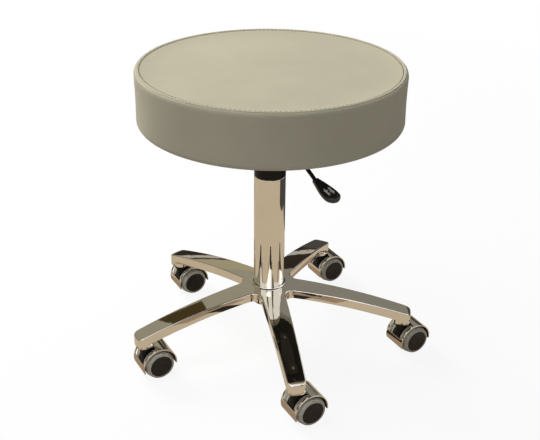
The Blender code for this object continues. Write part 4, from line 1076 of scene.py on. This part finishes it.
def lever_rod():
    """Rod bent twice, flattened to an eye round its pin: superellipses across a rounded path."""
    tail = (
        LEVER_BEND[0] + PADDLE_SOCKET * math.cos(PADDLE_DROOP),
        LEVER_BEND[1] - PADDLE_SOCKET * math.sin(PADDLE_DROOP),
    )
    eye_end = EYE_HALF_HEIGHT * 2
    bend = rounded((
        (eye_end, 0.0, 0), (LEVER_NECK, 0.0, LEVER_NECK_ROUND), (*LEVER_BEND, LEVER_BEND_ROUND), (*tail, 0),
    ), closed=False)
    eye = np.linspace((LEVER_START, 0.0), (eye_end, 0.0), LEVER_EYE_ROWS, endpoint=False)
    path = np.concatenate((eye, bend))
    along = np.gradient(path, axis=0)
    along /= np.linalg.norm(along, axis=1, keepdims=True)
    flat = 1 - smooth_step((path[:, 0] - EYE_HALF_HEIGHT) / EYE_HALF_HEIGHT)
    angle = np.linspace(0, 2 * math.pi, LEVER_COLUMNS, endpoint=False)
    round_side, round_rise = superellipse(angle, 1.0)
    eye_side, eye_rise = superellipse(angle, EYE_POWER)
    side = LEVER_RADIUS * (round_side[None] + (eye_side - round_side)[None] * flat[:, None])
    tall = LEVER_RADIUS * round_rise[None]
    rise = tall + (EYE_HALF_HEIGHT * eye_rise[None] - tall) * flat[:, None]
    grid = np.stack((
        path[:, None, 0] - rise * along[:, None, 1],
        side,
        path[:, None, 1] + rise * along[:, None, 0],
    ), axis=-1)
    ends = [np.broadcast_to(grid[k].mean(axis=0), (1, len(angle), 3)) for k in (0, -1)]
    rod = surface(np.concatenate((ends[0], grid, ends[1])), ring_columns=True)
    return combined(rod, cut=(placed(plug(*PIN_HOLE), TO_LEFT),))


def paddle_surface():
    """Teardrop paddle: a superellipse whose width grows as a sine and closes in a half circle.

    A recess is pressed into its top wherever the plan lies further than the rim from the outline, and a
    ridge exp(-((d - inside) / half)^2) runs round in it.
    """
    straight = PADDLE_LENGTH - PADDLE_HALF_WIDTH
    share = np.linspace(0, 1, PADDLE_ROWS[0])
    turn = np.linspace(0, QUARTER, PADDLE_ROWS[1])[1:]
    along = np.concatenate((
        PADDLE_START + (straight - PADDLE_START) * share,
        straight + PADDLE_HALF_WIDTH * np.sin(turn),
    ))
    width = np.concatenate((
        PADDLE_NECK + (PADDLE_HALF_WIDTH - PADDLE_NECK) * np.sin(QUARTER * share) ** PADDLE_FLARE_POWER,
        PADDLE_HALF_WIDTH * np.cos(turn),
    ))
    width[-1] = 0.0
    thick = PADDLE_HALF_THICKNESS * np.concatenate((
        PADDLE_NECK_SHARE + (1 - PADDLE_NECK_SHARE) * smooth_step(share * 3),
        1 - PADDLE_END_THINNING * (turn / QUARTER) ** 3,
    ))
    angle = np.linspace(0, 2 * math.pi, PADDLE_COLUMNS, endpoint=False)
    side, rise = superellipse(angle, PADDLE_POWER)
    y = width[:, None] * side[None]
    z = thick[:, None] * rise[None]
    x = np.broadcast_to(along[:, None], y.shape)
    past = np.maximum(x - straight, 0.0)
    edge = np.where(past > 0, PADDLE_HALF_WIDTH, width[:, None])
    inside = edge - np.hypot(past, y)
    press = RECESS_DEPTH * smooth_step((inside - PADDLE_RIM) / RECESS_WALL)
    press = press - RIDGE_HEIGHT * np.exp(-(((inside - RIDGE_INSIDE) / RIDGE_HALF) ** 2))
    z = z - press * smooth_step((x - RECESS_START) / RECESS_FADE) * (rise[None] > 0)
    grid = np.stack((x, y, z), axis=-1)
    start = np.broadcast_to(np.array((PADDLE_START, 0.0, 0.0)), (1, len(angle), 3))
    return surface(np.concatenate((start, grid)), ring_columns=True)


def arrow_surface():
    """Two plain arrows, one up and one down, standing a little out of the recess."""
    length = sizes().arrow_length
    shaft, wide, neck = ARROW_HALF_SHAFT, ARROW_HALF_HEAD, 0.5 - ARROW_HEAD
    outline = length * np.array((
        (-0.5, -shaft), (neck, -shaft), (neck, -wide), (0.5, 0.0), (neck, wide), (neck, shaft), (-0.5, shaft),
    ))
    floor = PADDLE_HALF_THICKNESS - RECESS_DEPTH
    arrow = prism(outline, floor - 2 * ARROW_PROUD, floor + ARROW_PROUD)
    up = placed(arrow, shift(ARROW_MIDDLE, ARROW_APART, 0.0))
    down = placed(arrow, shift(ARROW_MIDDLE, -ARROW_APART, 0.0) @ spin(math.pi))
    return merged(up, down)


def build_lever():
    """Lever rod, paddle with its arrows, and pivot pin."""
    lever = lever_frame()
    c, s = math.cos(PADDLE_DROOP), math.sin(PADDLE_DROOP)
    paddle = lever @ placing((c, 0, -s), (0, 1, 0), (s, 0, c), (LEVER_BEND[0], 0, LEVER_BEND[1]))
    add_piece("lever_rod_look", placed(lever_rod(), lever), "lever", ["paint"], ["lever_rod"])
    add_piece(
        "lever_paddle_look", placed(paddle_surface(), paddle), "lever", ["grip"],
        ["lever_paddle"])
    add_piece("lever_arrows", placed(arrow_surface(), paddle), "lever", ["marking"])
    pin = placed(turned(PIN_SECTION, PIN_COLUMNS), lever @ TO_RIGHT)
    add_piece("lever_pin_look", pin, "seat", ["steel"], ["lever_pin"])


# Gas lift

LIFT_PIECES = (                  # node, section, columns, body, finish, slot
    ("outer_column", COLUMN_SECTION, COLUMN_COLUMNS, "base", "chrome", "chrome"),
    ("guide_bush", BUSH_SECTION, COLUMN_COLUMNS, "base", "plastic", "black_plastic"),
    ("thrust_bearing", BEARING_SECTION, STEM_COLUMNS, "base", "steel", "steel"),
    ("piston_rod", ROD_SECTION, STEM_COLUMNS, "spindle", "steel", "steel"),
    ("retaining_clip", CLIP_SECTION, STEM_COLUMNS, "spindle", "steel", "steel"),
    ("rubber_buffer", BUFFER_SECTION, STEM_COLUMNS, "spindle", "rubber", "rubber"),
    ("gas_tube", TUBE_SECTION, WHEEL_COLUMNS, "seat", "paint", "painted_steel"),
    ("valve_button", BUTTON_SECTION, PIN_COLUMNS, "valve", "steel", "steel"),
)


def build_lift():
    """Column, bush, gas tube, rod and the small turned pieces in them, and the seat's bolts."""
    for node, section, columns, body, look, slot in LIFT_PIECES:
        add_piece(node + "_look", placed(turned(section, columns), AT_COLUMN), body, [look], [node])
    for number in range(1, 5):
        node = f"seat_bolt_{number}"
        low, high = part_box(node)
        place = shift((low.x + high.x) / 2, (low.y + high.y) / 2, 0.0)
        bolt = placed(turned(BOLT_SECTION, PIN_COLUMNS), place)
        add_piece(node + "_look", bolt, "seat", ["steel"], [node])


# Star base

def leg_top(distance):
    """Height of a leg's top: a straight fall from the hub with a parabolic bow."""
    share = np.maximum((distance - HUB_SLOPE_START) / (STEM_CIRCLE - HUB_SLOPE_START), 0.0)
    return TIP_TOP + LEG_RISE * (1 - share) + 4 * LEG_ARCH * share * (1 - share)


def rolled_top(plan):
    """Height of a leg's top over its plan, with the end of the leg rolled down."""
    past = np.clip((plan[..., 0] - STEM_CIRCLE) / LEG_TIP_RADIUS, 0.0, 1.0)
    return leg_top(np.hypot(plan[..., 0], plan[..., 1])) - TIP_ROLL * past ** 4


def leg_under(distance):
    """Height of a leg's lower edge."""
    depth = LEG_ROOT_DEPTH + (LEG_TIP_DEPTH - LEG_ROOT_DEPTH) * distance / STEM_CIRCLE
    return leg_top(distance) - depth


def leg_edge_points(inset):
    """Plan points down one edge of a leg, moved inwards: root fillet, straight side and superellipse tip."""
    lean = math.atan((LEG_ROOT_HALF - LEG_TIP_RADIUS) / STEM_CIRCLE)
    axis_width = LEG_TIP_RADIUS / math.cos(lean) + STEM_CIRCLE * math.tan(lean)
    half = LEG_STEP / 2
    reach = (axis_width + LEG_FILLET / math.cos(lean)) / (math.sin(half) + math.cos(half) * math.tan(lean))
    middle = (reach * math.cos(half), reach * math.sin(half))
    root = arc(middle, LEG_FILLET + inset, math.pi + half, 1.5 * math.pi - lean, ROOT_STEPS)
    ahead, across = superellipse(np.linspace(QUARTER - lean, 0.0, TIP_STEPS + 1), LEG_TIP_POWER)
    tip = np.column_stack((STEM_CIRCLE + (LEG_TIP_RADIUS - inset) * ahead, (LEG_TIP_RADIUS - inset) * across))
    share = np.linspace(0, 1, SIDE_STEPS + 1)[1:-1, None]
    return np.concatenate((root, root[-1] + (tip[0] - root[-1]) * share, tip))


def with_height(plan, height):
    """Plan points with their heights."""
    return np.concatenate((plan, np.asarray(height)[..., None]), axis=-1)


def leg_half():
    """Half of a leg as a grid of rows along the leg.

    Columns run from the middle of its top over a quarter circle, down its side, and to the middle of its
    hollow underside. A row at the tip is doubled, where the caster's boss steps down. Also gives the first
    row's top and under columns, where the hub goes on, and how the under columns are spread.
    """
    edge_round = sizes().leg_edge
    outer = leg_edge_points(0.0)
    inner = leg_edge_points(edge_round)
    inward = (inner - outer) / edge_round
    first_tip = ROOT_STEPS + SIDE_STEPS
    doubled = np.concatenate((np.arange(first_tip + 1), np.arange(first_tip, len(outer))))
    boss = np.arange(len(doubled)) > first_tip
    outer, inner, inward = outer[doubled], inner[doubled], inward[doubled]
    rows = len(outer)
    root_share = np.clip(1 - np.arange(rows) / ROOT_STEPS, 0.0, 1.0)

    def across(edge, t):
        bulge = (np.hypot(*edge[0]) - edge[0, 0]) * root_share
        return np.stack((edge[:, None, 0] + bulge[:, None] * (1 - t * t), edge[:, None, 1] * t), axis=-1)

    top_plan = across(inner, np.broadcast_to(TOP_SPREAD, (rows, len(TOP_SPREAD))))
    bow = smooth_step(np.arange(rows) / ROOT_STEPS) * np.minimum(inner[:, 1] / LEG_TIP_RADIUS, 1.0) ** 2
    crown = LEG_CROWN * bow[:, None] * (1 - TOP_SPREAD ** 2)[None]
    top = with_height(top_plan, rolled_top(top_plan) + crown)

    turn = np.linspace(0, QUARTER, ARC_STEPS + 2)[1:]
    rounding = outer[:, None] + inward[:, None] * (edge_round * (1 - np.sin(turn)))[None, :, None]
    fall = edge_round * (1 - np.cos(turn))
    rounding = with_height(rounding, rolled_top(rounding) - fall)

    under_edge = leg_under(np.hypot(outer[:, 0], outer[:, 1]))
    step = under_edge[first_tip]
    low = np.where(boss, BOSS_BOTTOM, under_edge)
    side_share = (np.arange(rows) - ROOT_STEPS) / SIDE_STEPS
    before = smooth_step((1 - side_share) * LOWER_EDGE_FADE[0])
    after = smooth_step((np.arange(rows) - first_tip - 1) / LOWER_EDGE_FADE[1])
    lower_round = LOWER_EDGE * np.where(boss, after, before)
    middle_height = np.where(boss, step, low + lower_round)
    wall = with_height(
        np.repeat(outer[:, None], 2, axis=1), np.stack((middle_height, low + lower_round), axis=-1))
    turn = np.linspace(0, QUARTER, EDGE_ROWS + 1)[1:]
    inset = lower_round[:, None] * (1 - np.cos(turn))[None]
    lower = with_height(
        outer[:, None] + inward[:, None] * inset[..., None],
        (low + lower_round)[:, None] - lower_round[:, None] * np.sin(turn)[None],
    )

    rim = outer + inward * lower_round[:, None]
    half_width = np.maximum(rim[:, 1], LEAST_HALF_WIDTH)
    lip = np.clip(1 - LEG_WALL / half_width, *LIP_SHARES)
    roof = np.clip(lip - LEG_DRAFT / half_width, *ROOF_SHARES)
    t = np.column_stack((np.ones(rows), (1 + lip) / 2, lip, roof, *[roof * share for share in ROOF_SPREAD]))
    plan = across(rim, t)
    share = np.clip(side_share, 0.0, 1.0)
    round_back = STEM_CIRCLE - np.sqrt(np.maximum(LEG_TIP_RADIUS ** 2 - plan[first_tip, :, 1] ** 2, 0.0))
    round_back[0] = rim[first_tip, 0]
    root_x = plan[ROOT_STEPS, :, 0]
    bent = root_x[None] + share[:, None] * (round_back - root_x)[None]
    on_side = (side_share >= 0) & ~boss
    on_side[first_tip + 1] = True
    plan[..., 0] = np.where(on_side[:, None], bent, plan[..., 0])
    height = np.where(boss[:, None], BOSS_BOTTOM, leg_under(plan[..., 0]))
    height[:ROOT_STEPS] = low[:ROOT_STEPS, None]
    height[:, 0] = low
    first, last = POCKET_ENDS
    hollow = smooth_step((side_share - first) / POCKET_FADE) * smooth_step((last - side_share) / POCKET_FADE)
    roof_height = leg_top(plan[..., 0]) - LEG_ROOF
    inside = np.arange(t.shape[1]) >= 3
    height = height + (roof_height - height) * (hollow * ~boss)[:, None] * inside[None]
    under = with_height(plan, height)
    half = np.concatenate((top, rounding, wall, lower, under[:, 1:]), axis=1)
    return half, top[0], under[0], t[0]


def hub_ring(radius, spread_of, height):
    """Points round half of one leg's share of the hub."""
    angle = spread_of * LEG_STEP / 2
    heights = np.broadcast_to(height, angle.shape)
    return np.column_stack((radius * np.cos(angle), radius * np.sin(angle), heights))


def star_surface():
    """Five legs and their hub: each half leg is a grid, mirrored and turned about the column.

    The hub rises to the column along a quarter circle, 1 - sqrt(1 - (1 - share)^2).
    """
    half, top, under, under_spread = leg_half()
    flare = np.linspace(0, 1, FLARE_ROWS)
    reach = HUB_BORE + FLARE_WIDTH * flare
    rise = leg_top(reach) + sizes().hub_flare * (1 - np.sqrt(1 - (1 - flare) ** 2))
    crown = [hub_ring(r, TOP_SPREAD, z) for r, z in zip(reach, rise)]
    upper = np.stack((*crown, top))
    lower = np.stack((
        hub_ring(HUB_BORE, TOP_SPREAD[::-1], HUB_BOTTOM),
        hub_ring(HUB_WALL, under_spread, HUB_BOTTOM),
        hub_ring(HUB_WALL, under_spread, leg_under(HUB_WALL)),
        under,
    ))
    bore = np.stack((crown[0], lower[0][::-1]))
    sector = merged(surface(half), surface(upper), surface(lower), surface(bore))
    mirror = np.diag((1.0, -1.0, 1.0, 1.0))
    leg = merged(sector, placed(sector, mirror))
    turns = [spin(-QUARTER + number * LEG_STEP) for number in range(LEG_COUNT)]
    return merged(*[placed(leg, turn) for turn in turns])


def build_base():
    """Star base."""
    star = placed(star_surface(), AT_COLUMN)
    add_piece("star_base_look", star, "base", ["casting"], ["star_base"])


# Casters

def rounded_box(low, high, corner):
    """Closed loop round a flat box with round corners, with fixed numbers of points along each side."""
    (x0, y0), (x1, y1) = low, high
    left, right, near, far = x0 + corner, x1 - corner, y0 + corner, y1 - corner
    centres = ((right, far), (left, far), (left, near), (right, near))
    arcs = [arc(centre, corner, k * QUARTER, (k + 1) * QUARTER, ARC_STEPS) for k, centre in enumerate(centres)]
    loop = []
    for k, bow in enumerate(arcs):
        steps = HOOD_SIDE_STEPS[k % 2]
        share = np.linspace(0, 1, steps + 1)[1:-1, None]
        loop += [bow, bow[-1] + (arcs[(k + 1) % 4][0] - bow[-1]) * share]
    return np.concatenate(loop)


def hood_surface():
    """Shell round both tyres, with a window: a closed grid round the window and through the wall.

    A flat plan (arc length s, y) is bent to (R cos(s / R0), y, R sin(s / R0)). Its inside has the second
    finish.
    """
    edge = sizes().hood_edge

    def outside(inset):
        low = (HOOD_ENDS[0] * HOOD_OUTER + inset, -HOOD_HALF + inset)
        high = (HOOD_ENDS[1] * HOOD_OUTER - inset, HOOD_HALF - inset)
        return rounded_box(low, high, HOOD_CORNER - inset)

    def window(inset):
        strip = HOOD_HALF - HOOD_STRIP
        low = (HOOD_WINDOW[0] * HOOD_OUTER - inset, -strip - inset)
        high = (HOOD_WINDOW[1] * HOOD_OUTER + inset, strip + inset)
        return rounded_box(low, high, WINDOW_CORNER + inset)

    def bent(plan, radius):
        angle = plan[:, 0] / HOOD_OUTER
        return np.column_stack((radius * np.cos(angle), plan[:, 1], radius * np.sin(angle)))

    def edge_rows(loop):
        turns = np.linspace(0, QUARTER, EDGE_ROWS + 1)[1:]
        return [(loop(edge * (1 - math.sin(turn))), edge * (1 - math.cos(turn))) for turn in turns]

    shares = np.linspace(0, 1, HOOD_ROWS)
    near, far = window(edge), outside(edge)
    face = [near + (far - near) * share for share in shares]
    around, hole = edge_rows(outside), edge_rows(window)
    rows = [bent(plan, HOOD_OUTER) for plan in face]
    rows += [bent(plan, HOOD_OUTER - depth) for plan, depth in around]
    rows += [bent(plan, HOOD_INNER + depth) for plan, depth in around[::-1]]
    inner_first = len(rows)
    rows += [bent(plan, HOOD_INNER) for plan in face[::-1]]
    inner_last = len(rows)
    rows += [bent(plan, HOOD_INNER + depth) for plan, depth in hole]
    rows += [bent(plan, HOOD_OUTER - depth) for plan, depth in hole[::-1]]
    grid = np.stack(rows)
    points, faces, tags = surface(grid, ring_rows=True, ring_columns=True)
    columns = grid.shape[1]
    tags[inner_first * columns:(inner_last - 1) * columns] = 1
    return points, faces, tags


def core_surface():
    """Body between the wheels: a plate that the hood sits on, with a neck and boss round the stem."""
    outline = np.concatenate((
        arc((0.0, 0.0), CORE_SEAT, *HOOD_ENDS, CORE_STEPS[0]),
        arc((0.0, 0.0), CORE_FOOT, HOOD_ENDS[1], 2 * math.pi + HOOD_ENDS[0], CORE_STEPS[1]),
    ))
    plate = placed(prism(outline, -CORE_HALF, CORE_HALF), TO_RIGHT)
    to_stem = shift(-CASTER_TRAIL, 0.0, -WHEEL_RADIUS)
    head = placed(turned(CORE_HEAD_SECTION, STEM_COLUMNS), to_stem)
    holes = (placed(plug(*STEM_HOLE), to_stem), placed(plug(*AXLE_HOLE), TO_LEFT))
    return combined(plate, joined=(head,), cut=holes)


def build_casters():
    """Five casters: stem, core, hood, axle, and two wheels each."""
    hood, core = hood_surface(), core_surface()
    stem, axle = turned(STEM_SECTION, STEM_COLUMNS), placed(turned(AXLE_SECTION, PIN_COLUMNS), TO_LEFT)
    hub, tread = turned(HUB_SECTION, WHEEL_COLUMNS), turned(TREAD_SECTION, WHEEL_COLUMNS)
    for number in range(1, LEG_COUNT + 1):
        caster = f"caster_{number}"
        roll = JOINTS[f"wheel_{number}_left_roll"]
        side = roll["axis"]
        wheels = placing((side[1], -side[0], 0), side, (0, 0, 1), roll["pos_m"])
        swivel = JOINTS[caster + "_swivel"]["pos_m"]
        pieces = [
            ("stem", placed(stem, shift(swivel[0], swivel[1], 0.0)), "base", ["steel"], "steel"),
            ("core", placed(core, wheels), caster, ["plastic"], "black_plastic"),
            ("hood", placed(hood, wheels), caster, ["chrome", "plastic"], "chrome"),
            ("axle", placed(axle, wheels), caster, ["steel"], "steel"),
        ]
        for hand, facing in (("left", TO_LEFT), ("right", TO_RIGHT)):
            wheel = f"wheel_{number}_{hand}"
            pieces += [
                ("hub_" + hand, placed(hub, wheels @ facing), wheel, ["hub"], "wheel_plastic"),
                ("tread_" + hand, placed(tread, wheels @ facing), wheel, ["tread"], "tread"),
            ]
        for piece, part, body, looks, slot in pieces:
            add_piece(f"{caster}_{piece}_look", part, body, looks, [f"{caster}_{piece}"])


# Stage

def seen_share(tree):
    """1 for what the camera sees, straight or in metal or glass, and 0 for light that falls on the stool."""
    path = add_node(tree, "LightPath")
    either = reckoned(tree, "MAXIMUM", path.outputs["Is Camera Ray"], path.outputs["Is Glossy Ray"])
    return reckoned(tree, "MAXIMUM", either, path.outputs["Is Transmission Ray"])


def stage_material(name):
    """Empty material of the stage, and its nodes."""
    made = bpy.data.materials.new(name)
    made.use_nodes = True
    made.node_tree.nodes.clear()
    return made, made.node_tree


def mixed(tree, share, first, second):
    """Two shaders mixed by a value."""
    mix = add_node(tree, "MixShader")
    for source, socket in zip((share, first.outputs[0], second.outputs[0]), mix.inputs):
        tree.links.new(source, socket)
    return mix


def floor_finish():
    """White floor: it keeps the stool's shadow, throws less light up at the seat, and is plain far off."""
    made, tree = stage_material("stage_floor")
    throws = add_node(tree, "BsdfDiffuse", Color=FLOOR_THROWN)
    shows = add_node(tree, "BsdfDiffuse", Color=FLOOR_SHOWN)
    glow = add_node(tree, "Emission", Color=(*WHITE, 1.0), Strength=1.0)
    far = add_node(tree, "VectorMath", operation="LENGTH")
    tree.links.new(place_of(tree), far.inputs[0])
    pale = mixed(tree, spread(tree, far.outputs["Value"], *FLOOR_FADE, *FLOOR_WHITE), shows, glow)
    mix = mixed(tree, seen_share(tree), throws, pale)
    tree.links.new(mix.outputs[0], add_node(tree, "OutputMaterial").inputs["Surface"])
    return made


def flat_panel(name, corners, material):
    """Four-cornered panel of the stage."""
    mesh = bpy.data.meshes.new(name)
    mesh.from_pydata(corners, [], [(0, 1, 2, 3)])
    mesh.materials.append(material)
    made = linked(mesh, name)
    return made


def reflector(name, corners, colour):
    """Panel that only shiny metal sees."""
    made, tree = stage_material("stage_" + name)
    glow = add_node(tree, "Emission", Color=(*colour, 1.0), Strength=1.0)
    tree.links.new(glow.outputs[0], add_node(tree, "OutputMaterial").inputs["Surface"])
    panel = flat_panel(name, corners, made)
    panel.visible_camera = False
    panel.visible_diffuse = False
    panel.visible_transmission = False
    panel.visible_shadow = False


def add_level_card(name, distance, half_length, half_width, height, colour, turn):
    """Level card for the metal to show, at a distance from the column and turned about it."""
    ends = np.array(((-1, -1), (1, -1), (1, 1), (-1, 1))) * (half_length, half_width) + (distance, 0.0)
    c, s = math.cos(turn), math.sin(turn)
    flat = ends @ np.array(((c, s), (-s, c))) + COLUMN_AXIS
    reflector(name, [(x, y, height) for x, y in flat.tolist()], colour)


def add_cards():
    """Cards for the metal to show: a tan floor with shade under the legs, a ceiling and walls."""
    for card in LEVEL_CARDS:
        add_level_card(*card)
    for number in range(1, LEG_COUNT + 1):
        for name, *card in LEG_CARDS:
            add_level_card(f"{name}_{number}", *card, -QUARTER + (number - 1) * LEG_STEP)
    for name, start, end, low, high, colour in WALLS:
        reflector(name, [(*start, low), (*end, low), (*end, high), (*start, high)], colour)


def add_lamp(name, place, target, width, power, colour, shown):
    """Square area lamp facing a target, which metal shows or doesn't."""
    light = bpy.data.lights.new(name, "AREA")
    light.shape = "SQUARE"
    light.size = width
    light.energy = power
    light.color = colour
    made = bpy.data.objects.new(name, light)
    back = np.array(place, float) - np.array(target, float)
    back /= np.linalg.norm(back)
    right = np.cross((0.0, 0.0, 1.0), back)
    right /= np.linalg.norm(right)
    made.matrix_world = placing(right, np.cross(back, right), back, place).T.tolist()
    made.visible_glossy = shown
    bpy.context.scene.collection.objects.link(made)


def add_camera():
    """Camera at the photo's angle."""
    data = bpy.data.cameras.new("photo_camera")
    data.lens = CAMERA_LENS
    data.sensor_width = CAMERA_SENSOR
    data.sensor_fit = "HORIZONTAL"
    cp, sp = math.cos(CAMERA_PITCH), math.sin(CAMERA_PITCH)
    forward = np.array((math.sin(CAMERA_YAW) * cp, math.cos(CAMERA_YAW) * cp, -sp))
    level = np.array((math.cos(CAMERA_YAW), -math.sin(CAMERA_YAW), 0.0))
    upright = np.cross(level, forward)
    cr, sr = math.cos(CAMERA_ROLL), math.sin(CAMERA_ROLL)
    right, up = cr * level + sr * upright, cr * upright - sr * level
    made = bpy.data.objects.new("photo_camera", data)
    made.matrix_world = placing(right, up, -forward, CAMERA_PLACE).T.tolist()
    bpy.context.scene.collection.objects.link(made)
    bpy.context.scene.camera = made


def white_world():
    """World that looks white, and lights the stool softly."""
    world = bpy.data.worlds.new("stage_world")
    world.use_nodes = True
    tree = world.node_tree
    background = tree.nodes["Background"]
    background.inputs["Color"].default_value = (*WHITE, 1.0)
    tree.links.new(spread(tree, seen_share(tree), 0.0, 1.0, WORLD_LIGHT, 1.0), background.inputs["Strength"])
    bpy.context.scene.world = world


def build_stage():
    """Pale floor, soft lamps, cards for the metal to show, and the photo's camera."""
    bpy.context.scene.view_settings.view_transform = "Standard"
    corners = [(x * FLOOR_HALF, y * FLOOR_HALF, 0.0) for x, y in ((-1, -1), (1, -1), (1, 1), (-1, 1))]
    flat_panel("stage_floor", corners, floor_finish())
    add_cards()
    for each in LAMPS:
        add_lamp(*each)
    white_world()
    add_camera()


# Operators and panel

class STOOL_OT_seat(bpy.types.Operator):
    """Build the seat cushion, its stitches and its lining"""

    bl_idname = "stool.seat"
    bl_label = "Seat"

    def execute(self, context):
        build_seat()
        return {"FINISHED"}


class STOOL_OT_lever(bpy.types.Operator):
    """Build the release lever with its paddle and pin"""

    bl_idname = "stool.lever"
    bl_label = "Release lever"

    def execute(self, context):
        build_lever()
        return {"FINISHED"}


class STOOL_OT_lift(bpy.types.Operator):
    """Build the column, the gas lift and the bolts"""

    bl_idname = "stool.lift"
    bl_label = "Gas lift"

    def execute(self, context):
        build_lift()
        return {"FINISHED"}


class STOOL_OT_base(bpy.types.Operator):
    """Build the five-legged base"""

    bl_idname = "stool.base"
    bl_label = "Star base"

    def execute(self, context):
        build_base()
        return {"FINISHED"}


class STOOL_OT_casters(bpy.types.Operator):
    """Build the five casters"""

    bl_idname = "stool.casters"
    bl_label = "Casters"

    def execute(self, context):
        build_casters()
        return {"FINISHED"}


class STOOL_OT_stage(bpy.types.Operator):
    """Build the floor, the lights and the camera"""

    bl_idname = "stool.stage"
    bl_label = "Stage"

    def execute(self, context):
        build_stage()
        return {"FINISHED"}


OPERATORS = (STOOL_OT_seat, STOOL_OT_lever, STOOL_OT_lift, STOOL_OT_base, STOOL_OT_casters, STOOL_OT_stage)


class STOOL_PT_looks(bpy.types.Panel):
    """Steps and settings of the stool's looks"""

    bl_idname = "STOOL_PT_looks"
    bl_label = "Rolling stool"
    bl_space_type = "VIEW_3D"
    bl_region_type = "UI"
    bl_category = "Stool"

    def draw(self, context):
        for operator in OPERATORS:
            self.layout.operator(operator.bl_idname)
        for settings in (context.scene.stool_sizes, context.scene.stool_colours):
            box = self.layout.box()
            for name in settings.__annotations__:
                box.prop(settings, name)


CLASSES = (StoolSizes, StoolColours, *OPERATORS, STOOL_PT_looks)


def register():
    for each in CLASSES:
        bpy.utils.register_class(each)
    bpy.types.Scene.stool_sizes = bpy.props.PointerProperty(type=StoolSizes)
    bpy.types.Scene.stool_colours = bpy.props.PointerProperty(type=StoolColours)


def unregister():
    del bpy.types.Scene.stool_colours
    del bpy.types.Scene.stool_sizes
    for each in reversed(CLASSES):
        bpy.utils.unregister_class(each)


def main():
    register()
    bpy.ops.stool.seat()
    bpy.ops.stool.lever()
    bpy.ops.stool.lift()
    bpy.ops.stool.base()
    bpy.ops.stool.casters()
    bpy.ops.stool.stage()


if __name__ == "__main__":
    main()
